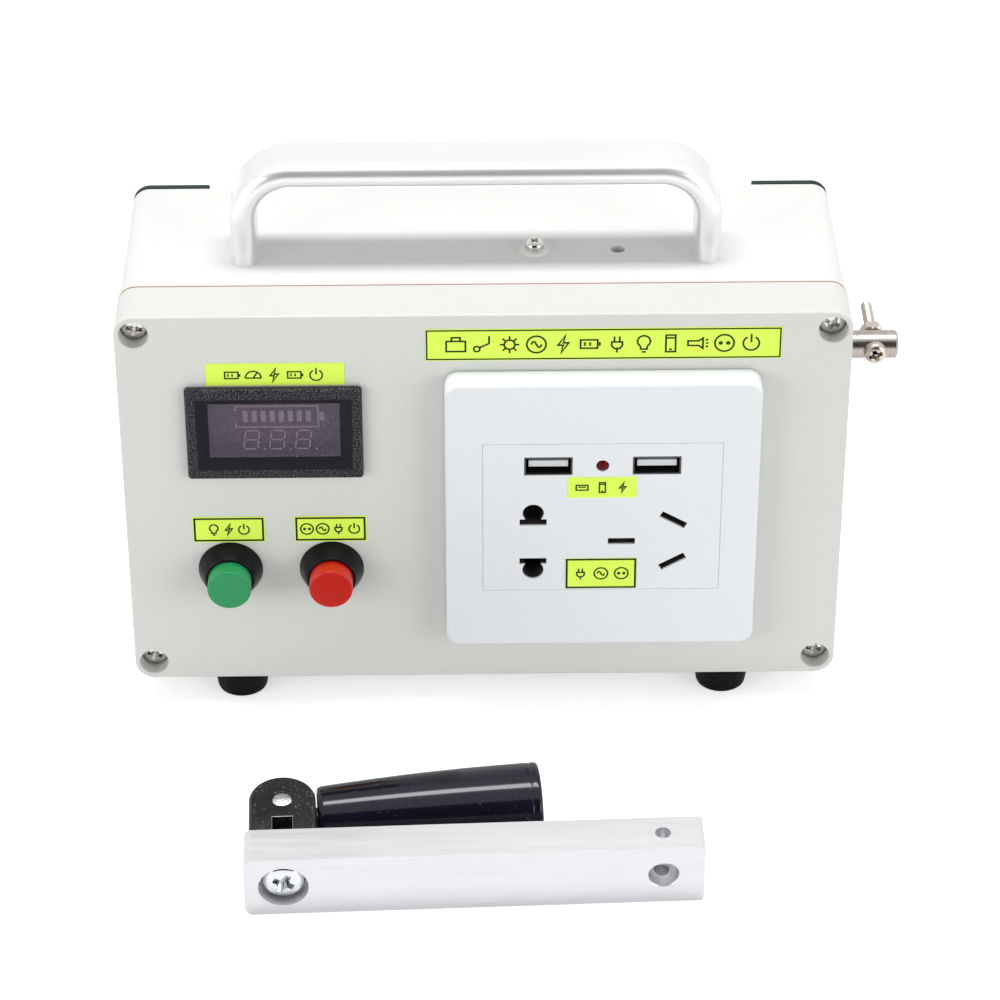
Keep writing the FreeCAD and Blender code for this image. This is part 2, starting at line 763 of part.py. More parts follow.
def make_meter():
    middle = ("meter_x", "-meter_proud", "meter_z")
    frame = centred_box("bezel_frame", middle, "meter_width", "meter_proud", "meter_height")
    frame = rounded("bezel_soft", frame, "meter_corner", lambda edge: edge_direction(edge) != "")
    shank = centred_box("bezel_shank", ("meter_x", "-meter_proud / 2", "meter_z"), "meter_body_width",
                        "meter_body_depth + meter_proud / 2", "meter_body_height")
    whole = fused("bezel_whole", frame, shank)
    funnel = primitive("Part::Wedge", "bezel_funnel", ("meter_x", "-meter_proud", "meter_z"), UPRIGHT,
                       Xmin="-meter_mouth_width / 2", Xmax="meter_mouth_width / 2",
                       Zmin="-meter_mouth_height / 2", Zmax="meter_mouth_height / 2",
                       X2min="-window_width / 2", X2max="window_width / 2",
                       Z2min="window_rise - window_height / 2", Z2max="window_rise + window_height / 2",
                       Ymin="0", Ymax="window_recess")
    inside = centred_box("bezel_inside", ("meter_x", "window_recess - meter_proud", "meter_z + window_rise"),
                         "window_width", "meter_body_depth + meter_proud", "window_height")
    node(cut("bezel", whole, funnel, inside), "meter_bezel")
    window = centred_box("window", ("meter_x", "window_recess - meter_proud", "meter_z + window_rise"),
                         "window_width", "window_thickness", "window_height")
    node(window, "meter_window")
    back = "window_recess - meter_proud + window_thickness"
    board = centred_box("display_board", ("meter_x", back, "meter_z + window_rise"), "window_width",
                        "meter_board_gap", "window_height")
    pcb = centred_box("display_pcb", ("meter_x", f"{back} + meter_board_gap", "meter_z + window_rise"),
                      "window_width", "meter_board_thickness", "window_height")
    node(fused("display", board, pcb), "meter_display")


# ---------------------------------------------------------------- push switches

def make_switch(colour):
    """One push switch: a black collar and barrel, its nut behind the lid, a coloured cap and a spring."""
    at_x = f"{colour}_x"
    collar = cone(f"{colour}_collar", (at_x, "0", "switch_z"), "collar_radius", "collar_rim_radius",
                  "collar_height", TO_FRONT)
    barrel = rod(f"{colour}_barrel", (at_x, "0", "switch_z"), "barrel_radius", "barrel_length", TO_BACK)
    body = fused(f"{colour}_body_whole", collar, barrel)
    floor = "press_travel + cap_length - cap_proud + fit_gap"
    cap_bore = rod(f"{colour}_cap_bore", (at_x, floor, "switch_z"), "cap_radius + running_gap",
                   f"collar_height + ({floor}) + 1", TO_FRONT)
    spring_bore = rod(f"{colour}_spring_bore", (at_x, "-collar_height", "switch_z"), "spring_bore_radius",
                      "collar_height + spring_seat", TO_BACK)
    stem_bore = rod(f"{colour}_stem_bore", (at_x, "0", "switch_z"), "cap_stem_radius + running_gap",
                    "2 * barrel_length", TO_BACK)
    node(cut(f"{colour}_body", body, cap_bore, spring_bore, stem_bore), f"{colour}_switch_body")
    nut = hexagon(f"{colour}_nut_blank", (at_x, "case_wall", "switch_z"), "switch_nut_radius",
                  "switch_nut_thickness", TO_BACK)
    nut_hole = rod(f"{colour}_nut_hole", (at_x, "case_wall", "switch_z"), "barrel_radius",
                   "switch_nut_thickness", TO_BACK)
    node(cut(f"{colour}_nut", nut, nut_hole), f"{colour}_switch_nut")
    cap = rod(f"{colour}_cap", (at_x, "-cap_proud", "switch_z"), "cap_radius", "cap_length", TO_BACK)
    cap = rounded(f"{colour}_cap_soft", cap, "cap_edge",
                  lambda edge: isinstance(edge.Curve, Part.Circle) and
                  abs(edge.BoundBox.YMax + size("cap_proud")) < 1e-4)
    stem = rod(f"{colour}_stem", (at_x, "-cap_proud + cap_length - 1", "switch_z"), "cap_stem_radius",
               "cap_proud - cap_length + 1 + barrel_length - press_travel", TO_BACK)
    node(fused(f"{colour}_cap_whole", cap, stem), f"{colour}_button")
    make_spring(colour, at_x)


def make_spring(colour, at_x):
    """A coil spring between the back of the cap and the seat in the barrel."""
    rise = "spring_seat + cap_proud - cap_length - 2 * spring_wire_radius - 2 * running_gap"
    helix = primitive("Part::Helix", f"{colour}_helix", ("0", "0", "0"), UPRIGHT, Radius="spring_radius",
                      Height=rise, Pitch=f"({rise}) / spring_turns")
    wire = doc.addObject("Part::Feature", f"{colour}_spring_wire")
    ring = Part.Circle(Vector(size("spring_radius"), 0, 0), Vector(0, 1, 0), size("spring_wire_radius"))
    wire.Shape = Part.Wire([ring.toShape()])
    coil = doc.addObject("Part::Sweep", f"{colour}_coil")
    coil.Sections = [wire]
    coil.Spine = (helix, ["Edge1"])
    coil.Solid = True
    coil.Frenet = True
    start = "cap_length - cap_proud + spring_wire_radius + running_gap"
    frame = CASE + f" * placement(vector({at_x}; {start}; switch_z); {TO_BACK})"
    node(coil, f"{colour}_button_spring", frame)


# ---------------------------------------------------------------- sockets

def slot(name, middle, length, lean, depth):
    """A leaning slot that goes straight back from its front."""
    across, along_y, up = middle
    blade = primitive("Part::Box", name + "_blade",
                      (f"-({length}) / 2", "0", "-slot_width / 2"), UPRIGHT,
                      Length=length, Width=depth, Height="slot_width")
    turned = grouped(name, blade)
    return place(turned, (across, along_y, up), f"rotation(vector(0; 1; 0); {lean})")


def live_slots(name, along_y, depth):
    """The two leaning slots and the level earth slot of the three-pin outlet."""
    across = "plate_x + live_offset_x"
    high = "plate_z + live_drop_z + live_offset_z"
    low = "plate_z + live_drop_z - live_offset_z"
    upper = slot(name + "_upper", (across, along_y, high), "live_slot_length", "live_slot_lean", depth)
    lower = slot(name + "_lower", (across, along_y, low), "live_slot_length", "-live_slot_lean", depth)
    earth = slot(name + "_earth", ("plate_x + earth_offset_x", along_y, "plate_z + live_drop_z"),
                 "flat_slot_length", "0", depth)
    return [upper, lower, earth]


def pin_openings(name, along_y, depth):
    """The two round holes of the two-pin outlet, each with its flat slot."""
    made = []
    for end in (-1, 1):
        across = "plate_x + pin_offset_x"
        round_z = f"plate_z + live_drop_z + {end} * pin_round_half_pitch"
        flat_z = f"plate_z + live_drop_z + {end} * pin_slot_half_pitch"
        made.append(rod(f"{name}_round_{end + 1}", (across, along_y, round_z), "pin_radius", depth, TO_BACK))
        made.append(slot(f"{name}_flat_{end + 1}", (across, along_y, flat_z), "flat_slot_length", "0",
                         depth))
    return made


def usb_blocks(name, along_y, width, depth, height, lift="0"):
    """A pair of blocks, one at each USB port."""
    return [centred_box(f"{name}_{side + 1}",
                        (f"plate_x + {side} * usb_offset_x", along_y, f"plate_z + usb_offset_z + {lift}"),
                        width, depth, height) for side in (-1, 1)]


def make_socket_plate():
    front = "-plate_proud"
    block = centred_box("plate_block", ("plate_x", front, "plate_z"), "plate_size", "plate_proud",
                        "plate_size")
    block = rounded("plate_round", block, "plate_corner", along("Y"))
    doc.recompute()
    block = rounded("plate_soft", block, "plate_edge", in_plane(1, -size("plate_proud")))
    hollow = centred_box("plate_hollow", ("plate_x", "plate_wall - plate_proud", "plate_z"),
                         "plate_size - 2 * plate_wall", "plate_proud", "plate_size - 2 * plate_wall")
    pocket = centred_box("plate_pocket", ("plate_x", "insert_y", "plate_z"), "housing_width + 2 * fit_gap",
                         "plate_wall", "housing_height + 2 * fit_gap")
    edge = centred_box("plate_edge_block", ("plate_x", "-plate_gap_depth", "plate_z"), "2 * plate_size",
                       "plate_gap_depth", "2 * plate_size")
    kept = centred_box("plate_edge_kept", ("plate_x", "-plate_gap_depth", "plate_z"),
                       "plate_size - 2 * plate_gap_inset", "plate_gap_depth",
                       "plate_size - 2 * plate_gap_inset")
    edge = cut("plate_shadow_gap", edge, kept)
    around = centred_box("groove_around", ("plate_x", front, "plate_z"), "groove_width + 2 * groove_gap",
                         "groove_depth", "groove_height + 2 * groove_gap")
    within = centred_box("groove_within", ("plate_x", front, "plate_z"), "groove_width", "groove_depth",
                         "groove_height")
    groove = cut("groove", around, within)
    led = rod("plate_led_hole", ("plate_x", front, "plate_z + usb_offset_z"), "led_radius + running_gap",
              "2 * plate_wall", TO_BACK)
    tools = usb_blocks("plate_usb", front, "usb_width + 2 * running_gap", "2 * plate_wall",
                       "usb_height + 2 * running_gap")
    tools += live_slots("plate_live", front, "2 * plate_wall")
    tools += pin_openings("plate_pin", front, "2 * plate_wall")
    node(cut("plate", block, hollow, pocket, edge, groove, led, *tools), "socket_plate")


def make_socket_housing():
    front = "insert_y"
    block = centred_box("housing_block", ("plate_x", front, "plate_z"), "housing_width",
                        f"housing_depth - {front}", "housing_height")
    flange = centred_box("housing_flange", ("plate_x", "-flange_thickness", "plate_z"), "flange_width",
                         "flange_thickness", "flange_height")
    whole = fused("housing_whole", block, flange)
    tools = usb_blocks("housing_usb", front, "usb_width + 2 * running_gap", "usb_depth",
                       "usb_height + 2 * running_gap")
    tools.append(centred_box("housing_bay", ("plate_x", "usb_depth - plate_proud", "plate_z + usb_offset_z"),
                             "usb_board_width + 2 * fit_gap", "usb_board_thickness + fit_gap",
                             "usb_board_height + 2 * fit_gap"))
    tools.append(rod("housing_led_hole", ("plate_x", front, "plate_z + usb_offset_z"),
                     "led_radius + running_gap", "usb_depth - mouth_wall", TO_BACK))
    tools += live_slots("housing_live", front, "well_depth")
    tools += pin_openings("housing_pin", front, "well_depth")
    for side in (-1, 1):
        tools.append(rod(f"flange_hole_{side + 1}",
                         (f"plate_x + {side} * plate_screw_spacing / 2", "-flange_thickness", "plate_z"),
                         "plate_screw_radius + running_gap", "flange_thickness", TO_BACK))
    node(cut("housing", whole, *tools), "socket_housing")
    screws = [screw(f"plate_screw_{side + 1}",
                    (f"plate_x + {side} * plate_screw_spacing / 2", "-flange_thickness", "plate_z"),
                    TO_FRONT, "plate_screw") for side in (-1, 1)]
    node(grouped("plate_screw_set", *screws), "socket_screws")


def make_outlet_parts():
    front = "-plate_proud"
    outer = grouped("usb_outer", *usb_blocks("usb_shell", front, "usb_width", "usb_depth", "usb_height"))
    inner = grouped("usb_inner", *usb_blocks("usb_hole", front, "usb_width - 2 * usb_wall", "usb_depth",
                                             "usb_height - 2 * usb_wall"))
    node(cut("usb_shells", outer, inner), "usb_ports")
    tongues = usb_blocks("usb_tongue", "usb_depth - usb_tongue_depth - plate_proud", "usb_tongue_width",
                         "usb_tongue_depth", "usb_tongue_height", "usb_tongue_drop")
    node(grouped("usb_tongue_set", *tongues), "usb_tongues")
    board = centred_box("usb_board_slab", ("plate_x", "usb_depth - plate_proud", "plate_z + usb_offset_z"),
                        "usb_board_width", "usb_board_thickness", "usb_board_height")
    node(board, "usb_board")
    led = rod("led_rod", ("plate_x", front, "plate_z + usb_offset_z"), "led_radius", "led_length", TO_BACK)
    node(led, "charge_led")
    contacts = []
    back = "insert_y + well_depth - contact_depth"
    contact_slots = live_slots("contact_live", back, "contact_depth")
    contact_slots += [item for item in pin_openings("contact_pin", back, "contact_depth")
                      if item.TypeId == "Part::Compound"]
    for item in contact_slots:
        blade = item.Links[0]
        blade.setExpression("Height", tied("contact_thickness"))
        contacts.append(item)
    contacts += [item for item in doc.Objects if item.Name.startswith("contact_pin_round")]
    for item in contacts:
        if item.TypeId == "Part::Cylinder":
            item.setExpression("Radius", tied("contact_thickness"))
    node(grouped("contact_set", *contacts), "socket_contacts")


# ---------------------------------------------------------------- labels

def make_labels():
    on_lid = "-label_thickness"
    on_plate = "-plate_proud - label_thickness"
    places = (
        ("title", "title_x", on_lid, "title_z", "title_width", "title_height"),
        ("meter_label", "meter_label_x", on_lid, "meter_label_z", "meter_label_width", "meter_label_height"),
        ("lamp_label", "green_x", on_lid, "lamp_label_z", "lamp_label_width", "lamp_label_height"),
        ("power_label", "red_x", on_lid, "lamp_label_z", "lamp_label_width", "lamp_label_height"),
        ("usb_label", "plate_x", on_plate, "usb_label_z", "usb_label_width", "usb_label_height"),
        ("mains_label", "plate_x", on_plate, "mains_label_z", "mains_label_width", "mains_label_height"),
    )
    labels = [centred_box(name + "_sticker", (across, front, up), width, "label_thickness", height)
              for name, across, front, up, width, height in places]
    node(grouped("label_set", *labels), "panel_labels")


# ---------------------------------------------------------------- gearbox and generator

def gear_wire(name, teeth, thinning, inside=False):
    """The closed outline of a spur gear with involute teeth, a tooth at three o'clock."""
    builder = fcgear.FCWireBuilder()
    pressure_angle, tip, root, fillet = 20, 1.0, 1.25, 0.3
    make = involute.CreateInternalGear if inside else involute.CreateExternalGear
    make(builder, size("gear_module"), int(teeth), pressure_angle, True, tip, root, fillet, -thinning)
    wire = doc.addObject("Part::Feature", name)
    wire.Shape = Part.Wire([piece.toShape() for piece in builder.wire])
    return wire


def gear_blank(name, teeth, thinning, length, turn=0, inside=False):
    """A solid of a gear's outline, from x = 0 towards +X, with its first tooth turned up from +Y."""
    wire = gear_wire(name + "_outline", teeth, thinning, inside)
    blank = doc.addObject("Part::Extrusion", name)
    blank.Base = wire
    blank.Dir = Vector(0, 0, 1)
    blank.Solid = True
    blank.setExpression("LengthFwd", tied(length))
    blank.Placement.Rotation = Rotation(Vector(0, 0, 1), turn)
    return blank


ON_DRIVE = "rotation(vector(0; 0; 1); 90) * rotation(vector(1; 0; 0); 90)"


def on_drive(x_at):
    """A spot on the drive's axis."""
    return (x_at, "drive_y", "drive_z")


def make_gearbox():
    face = rod("gear_face_disc", on_drive("ring_right_x"), "box_radius", "gearbox_face_thickness", TO_X)
    seat = rod("gear_face_seat", on_drive("ring_right_x"), "bearing_radius", "bearing_width", TO_X)
    hole = rod("gear_face_hole", on_drive("ring_right_x"), "wall_hole_radius", "gearbox_face_thickness",
               TO_X)
    threads = [rod(f"gear_face_thread_{n}", box_screw_spot(n, "wall_inside_x - box_screw_length"),
                   "box_screw_radius + running_gap", "box_screw_length", TO_X) for n in range(4)]
    node(cut("gear_face", face, seat, hole, *threads), "gearbox_face")
    bearing = lying_ring("bearing", on_drive("ring_right_x"), "bearing_radius",
                         "shaft_radius + running_gap", "bearing_width", TO_X)
    node(bearing, "shaft_bearing")
    tube = rod("ring_tube", on_drive("ring_left_x"), "box_radius", "ring_length", TO_X)
    half_tooth = 180 / size("ring_teeth")
    hollow = gear_blank("ring_hollow", size("ring_teeth"), 0, "ring_length", half_tooth, inside=True)
    hollow = place(grouped("ring_hollow_set", hollow), on_drive("ring_left_x"), ON_DRIVE)
    node(cut("ring", tube, hollow), "gearbox_ring")


def make_drive_shaft():
    carrier_x = "ring_right_x - gear_side_gap - carrier_thickness"
    disc = rod("carrier_disc", on_drive(carrier_x), "gear_centres + planet_pin_radius + 1.5",
               "carrier_thickness", TO_X)
    shaft = rod("shaft_bar", on_drive(carrier_x), "shaft_radius",
                f"case_width / 2 + shaft_reach - shaft_chamfer - ({carrier_x})", TO_X)
    nose = cone("shaft_nose", on_drive("case_width / 2 + shaft_reach - shaft_chamfer"), "shaft_radius",
                "shaft_radius - shaft_chamfer", "shaft_chamfer", TO_X)
    pins = [rod(f"planet_pin_{n}", planet_spot(n, f"{carrier_x} - gear_face - gear_side_gap"),
                "planet_pin_radius", "gear_face + gear_side_gap", TO_X) for n in range(3)]
    whole = fused("shaft_whole", disc, shaft, nose, *pins)
    hole = rod("shaft_cross_hole", ("bolt_x", "drive_y - 2 * shaft_radius", "drive_z"),
               "bolt_radius + running_gap", "4 * shaft_radius", TO_BACK)
    node(cut("shaft", whole, hole), "crank_shaft")
    bolt = screw("cross_bolt", ("bolt_x", "drive_y - shaft_radius", "drive_z"), TO_FRONT, "bolt")
    node(grouped("cross_bolt_set", bolt), "cross_bolt")
    nut_spot = ("bolt_x", "drive_y + shaft_radius", "drive_z")
    nut = hexagon("cross_nut_blank", nut_spot, "bolt_nut_radius", "bolt_nut_thickness", TO_BACK)
    nut_hole = rod("cross_nut_hole", nut_spot, "bolt_radius + running_gap", "bolt_nut_thickness", TO_BACK)
    node(cut("cross_nut_cut", nut, nut_hole), "cross_nut")


def planet_spot(number, x_at):
    """The centre of one planet gear, on its circle about the drive's axis."""
    turn = 120 * number
    return (x_at, f"drive_y + gear_centres * cos({turn}deg)", f"drive_z + gear_centres * sin({turn}deg)")


def make_planets():
    planet_x = "ring_left_x + gear_side_gap"
    for number in range(3):
        blank = gear_blank(f"planet_blank_{number}", size("planet_teeth"), size("gear_thinning"),
                           "gear_face", 120 * number)
        bore = rod(f"planet_bore_{number}", ("0", "0", "0"), "planet_pin_radius + running_gap", "gear_face")
        gear = cut(f"planet_{number}", blank, bore)
        across, along_y, up = planet_spot(number, planet_x)
        frame = CASE + f" * placement(vector({across}; {along_y}; {up}); {ON_DRIVE})"
        node(gear, f"planet_gear_{number + 1}", frame)


def make_generator():
    teeth = gear_blank("sun_teeth_blank", size("sun_teeth"), size("gear_thinning"), "gear_face")
    teeth = place(grouped("sun_set", teeth), on_drive("ring_left_x + gear_side_gap"), ON_DRIVE)
    shaft = rod("rotor_rod", on_drive("can_left_x - end_cap_thickness"), "rotor_radius",
                "end_cap_thickness + can_length + gear_side_gap + gear_face", TO_X)
    node(fused("rotor_shaft_whole", teeth, shaft), "rotor_shaft")
    core_x = "can_left_x + (can_length - core_length) / 2"
    core = rod("core_disc", on_drive(core_x), "core_radius", "core_length", TO_X)
    tools = [rod("core_bore", on_drive(core_x), "rotor_radius", "core_length", TO_X)]
    step = 360 / size("core_slots")
    for number in range(int(size("core_slots"))):
        blade = box(f"core_slot_{number}", ("0", "core_radius - core_slot_depth", "-core_slot_width / 2"),
                    "core_length", "core_slot_depth + 1", "core_slot_width")
        tools.append(place(grouped(f"core_slot_set_{number}", blade), on_drive(core_x),
                           f"rotation(vector(1; 0; 0); {step * number})"))
    node(cut("core", core, *tools), "rotor_core")
    can = rod("can_tube", on_drive("can_left_x"), "box_radius", "can_length", TO_X)
    hollow = rod("can_hollow", on_drive("can_left_x"), "can_bore", "can_length - can_end_thickness", TO_X)
    hole = rod("can_hole", on_drive("can_left_x"), "rotor_radius + running_gap", "can_length", TO_X)
    node(cut("can", can, hollow, hole), "generator_can")
    magnet_x = "can_left_x + (can_length - magnet_length) / 2"
    magnets = []
    for number, start in enumerate((90, 270)):
        sector = primitive("Part::Cylinder", f"magnet_sector_{number}", ("0", "0", "0"), UPRIGHT,
                           Radius="can_bore", Height="magnet_length", Angle="magnet_span")
        bore = rod(f"magnet_bore_{number}", ("0", "0", "0"), "can_bore - magnet_thickness", "magnet_length")
        arc = cut(f"magnet_{number}", sector, bore)
        magnets.append(place(arc, on_drive(magnet_x),
                             f"{ON_DRIVE} * rotation(vector(0; 0; 1); {start} - magnet_span / 2)"))
    node(grouped("magnet_set", *magnets), "generator_magnets")
    cap = rod("end_disc", on_drive("can_left_x - end_cap_thickness"), "box_radius", "end_cap_thickness",
              TO_X)
    cap_hole = rod("end_hole", on_drive("can_left_x - end_cap_thickness"), "rotor_radius + running_gap",
                   "end_cap_thickness", TO_X)
    node(cut("end_cap", cap, cap_hole), "generator_end_cap")


# ---------------------------------------------------------------- battery, boards and lamp

def make_battery():
    floor = "rear_inset + case_wall"
    half = "cell_pitch + tray_wall"
    outer = box("tray_outer", ("tray_x - cell_length / 2 - tray_wall", f"tray_y - ({half})", floor),
                "cell_length + 2 * tray_wall", f"2 * ({half})", "tray_height")
    inner = box("tray_inner", ("tray_x - cell_length / 2", "tray_y - cell_pitch", f"{floor} + tray_wall"),
                "cell_length", "2 * cell_pitch", "tray_height")
    node(cut("tray", outer, inner), "battery_tray")
    cells = []
    for row in (-1, 1):
        for layer in (0, 1):
            spot = ("tray_x - cell_length / 2", f"tray_y + {row} * cell_pitch / 2",
                    f"{floor} + tray_wall + cell_radius + {layer} * cell_pitch")
            cells.append(rod(f"cell_{row + 1}_{layer}", spot, "cell_radius", "cell_length", TO_X))
    node(grouped("cell_set", *cells), "battery_cells")


def make_inverter():
    board_z = "rear_inset + case_wall + standoff_height"
    board = box("inverter_slab", ("board_x - board_length / 2", "board_y - board_width / 2", board_z),
                "board_length", "board_width", "board_thickness")
    node(board, "inverter_board")
    top = f"{board_z} + board_thickness"
    coil_x = "board_x - board_length / 2 + coil_inset"
    core = box("coil_core", (f"{coil_x} - coil_length / 2", "board_y - coil_core_width / 2", top),
               "coil_length", "coil_core_width", "coil_height")
    coil = rod("coil_winding", (coil_x, "board_y", top), "coil_width / 2", "coil_height - 2 * case_wall")
    node(fused("coil", core, coil), "inverter_transformer")
    cans_x = "board_x + board_length / 2 - capacitor_inset"
    cans = [rod(f"capacitor_{n}", (f"{cans_x} - {n} * capacitor_pitch", "board_y", top),
                "capacitor_radius", "capacitor_height") for n in range(2)]
    node(grouped("capacitor_set", *cans), "inverter_capacitors")


def make_lamp():
    outside = "-case_width / 2 + rear_inset"
    flange = rod("lamp_flange", (outside, "lamp_y", "lamp_z"), "lamp_flange_radius", "lamp_flange_thickness",
                 TO_LEFT)
    barrel = rod("lamp_barrel", (outside, "lamp_y", "lamp_z"), "lamp_radius", "lamp_depth", TO_X)
    whole = fused("lamp_whole", flange, barrel)
    hollow = rod("lamp_hollow", (outside, "lamp_y", "lamp_z"), "lamp_radius - lamp_wall", "lamp_depth", TO_X)
    node(cut("lens", whole, hollow), "lamp_lens")
    board = rod("lamp_disc", (f"{outside} + lamp_depth", "lamp_y", "lamp_z"), "lamp_radius",
                "lamp_board_thickness", TO_X)
    node(board, "lamp_board")


# ---------------------------------------------------------------- crank

def make_crank_arm():
    """The bar lies with its back raised on the grip: its own frame starts at its low front left corner."""
    bar = box("bar_blank", ("0", "0", "0"), "bar_length", "bar_depth", "bar_height")
    near = lambda edge: edge_direction(edge) == "Y" and edge.BoundBox.XMax < 1
    far = lambda edge: edge_direction(edge) == "Y" and edge.BoundBox.XMin > size("bar_length") - 1
    bar = rounded("bar_round", bar, "bar_corner", near)
    bar = rounded("bar_round_far", bar, "bar_end_corner", far)
    middle = "bar_height / 2"
    bore_x = "crank_screw_x + crank_radius"
    sink = rod("bar_sink", ("crank_screw_x", "0", middle), "crank_sink_radius", "crank_sink_depth", TO_BACK)
    hole = rod("bar_screw_hole", ("crank_screw_x", "0", middle), "crank_screw_radius + running_gap",
               "bar_depth", TO_BACK)
    bore = rod("bar_bore", (bore_x, "0", middle), "crank_bore_radius", "bar_depth", TO_BACK)
    mouth = cone("bar_mouth", (bore_x, "0", middle), "crank_bore_radius + crank_bore_chamfer",
                 "crank_bore_radius", "crank_bore_chamfer", TO_BACK)
    back = cone("bar_back_mouth", (bore_x, "bar_depth - crank_bore_chamfer", middle), "crank_bore_radius",
                "crank_bore_radius + crank_bore_chamfer", "crank_bore_chamfer", TO_BACK)
    across = rod("bar_cross_hole", (bore_x, "bar_depth / 2", "0"), "cross_hole_radius", "bar_height")
    node(cut("bar", bar, sink, hole, bore, mouth, back, across), "crank_arm", CRANK)
    fixing = screw("clevis_fixing", ("crank_screw_x", "crank_sink_depth", middle), TO_FRONT, "crank_screw")
    node(grouped("clevis_screw_set", fixing), "clevis_screw", CRANK)


def make_clevis():
    """A flat-topped block, forked for the spindle's tongue, its end round about the fold pin."""
    middle = ("crank_screw_x", "bar_depth", "bar_height / 2")
    foot = "bar_height / 2 - clevis_radius"
    straight = box("clevis_straight", ("crank_screw_x - clevis_radius", "bar_depth", foot),
                   "2 * clevis_radius", "pivot_from_bar", "2 * clevis_radius")
    end = rod("clevis_end", ("crank_screw_x", "pivot_y", foot), "clevis_radius", "2 * clevis_radius")
    block = fused("clevis_outline", straight, end)
    top = size("bar_height") / 2 + size("clevis_radius")
    block = rounded("clevis_soft_top", block, "clevis_edge", in_plane(2, top))
    body = rounded("clevis_soft_foot", block, "clevis_edge", in_plane(2, top - 2 * size("clevis_radius")))
    gap = "tongue_thickness / 2 + slot_side_gap"
    floor = "pivot_y - tongue_radius - slot_end_gap"
    fork = box("clevis_slot", ("crank_screw_x - clevis_radius", floor, f"bar_height / 2 - ({gap})"),
               "2 * clevis_radius", "2 * clevis_radius + tongue_radius", f"2 * ({gap})")
    notch = box("clevis_notch", ("crank_screw_x - notch_width / 2", "bar_depth", f"bar_height / 2 + {gap}"),
                "notch_width", "notch_depth", "clevis_radius")
    thread = rod("clevis_thread", middle, "crank_screw_radius + running_gap", "pivot_from_bar", TO_BACK)
    pin_hole = rod("clevis_pin_hole", ("crank_screw_x", "pivot_y", "0"), "fold_pin_radius", "bar_height")
    node(cut("clevis", body, fork, notch, thread, pin_hole), "handle_clevis", CRANK)
    pin = rod("pin_rod", ("crank_screw_x", "pivot_y", "bar_height / 2 - clevis_radius + fold_pin_inset"),
              "fold_pin_radius", "2 * (clevis_radius - fold_pin_inset)")
    node(pin, "fold_pin", CRANK)


def make_grip():
    """The grip's own frame starts on the fold pin's axis and points along the grip."""
    root = "grip_start - spindle_gap"
    tongue = box("tongue_flat", ("0", "-tongue_radius", "-tongue_thickness / 2"), root, "2 * tongue_radius",
                 "tongue_thickness")
    eye = rod("tongue_eye", ("0", "0", "-tongue_thickness / 2"), "tongue_radius", "tongue_thickness")
    stalk = rod("spindle_rod", ("0", "0", "0"), "spindle_radius",
                "grip_end - grip_recess_depth - spindle_gap", TO_X)
    whole = fused("spindle_whole", tongue, eye, stalk)
    pin_hole = rod("tongue_hole", ("0", "0", "-tongue_radius"), "fold_pin_radius + running_gap",
                   "2 * tongue_radius")
    thread = rod("spindle_thread",
                 ("grip_end - grip_recess_depth - grip_screw_length - spindle_gap", "0", "0"),
                 "grip_screw_radius + running_gap", "2 * grip_screw_length", TO_X)
    node(cut("spindle", whole, pin_hole, thread), "grip_spindle", GRIP)
    sleeve = cone("sleeve_cone", ("grip_start", "0", "0"), "grip_small_radius", "grip_big_radius",
                  "grip_length", TO_X)
    sleeve = rounded("sleeve_soft", sleeve, "grip_edge", lambda edge: isinstance(edge.Curve, Part.Circle))
    bore = rod("sleeve_bore", ("0", "0", "0"), "spindle_radius + running_gap", "2 * grip_end", TO_X)
    recess = rod("sleeve_recess", ("grip_end - grip_recess_depth", "0", "0"), "grip_recess_radius",
                 "grip_recess_depth", TO_X)
    node(cut("sleeve", sleeve, bore, recess), "grip_sleeve", GRIP)
    fixing = screw("sleeve_fixing", ("grip_end - grip_recess_depth + spindle_gap / 2", "0", "0"), TO_X,
                   "grip_screw")
    node(grouped("grip_screw_set", fixing), "grip_screw", GRIP)


# ---------------------------------------------------------------- the whole object

make_lid()
make_gasket()
make_rear_case()
make_case_fasteners()
make_feet()
make_corner_pads()
make_handle()
make_meter()
make_switch("green")
make_switch("red")
make_socket_plate()
make_socket_housing()
make_outlet_parts()
make_labels()
make_gearbox()
make_drive_shaft()
make_planets()
make_generator()
make_battery()
make_inverter()
make_lamp()
make_crank_arm()
make_clevis()
make_grip()

doc.recompute()
faults = [item.Name for item in doc.Objects if {"Invalid", "Error"} & set(item.State)]
faults += [item.Label for item in nodes if item.Shape.isNull() or not item.Shape.isValid()]
if faults:
    raise SystemExit("these objects failed: " + ", ".join(faults))

os.makedirs("parts", exist_ok=True)
for item in nodes:
    item.Shape.exportStep(f"parts/{item.Label}.step")
    solids = item.Shape.Solids
    print(f"{item.Label}: {len(solids)} solids, {sum(solid.Volume for solid in solids) / 1000:.2f} cm3")
print(len(nodes), "nodes")
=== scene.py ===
"""The dressed hand crank generator: a plastic box with its panel, handle and drive, and the loose crank before it.

Lengths are metres in the frame of the solids: +X to the right, +Y to the back, +Z up, and the floor at zero. Sizes
written in a section are millimetres from the lower front middle of the box, or from the crank's own corner.
"""
import math

import bmesh
import bpy
from mathutils import Matrix, Vector


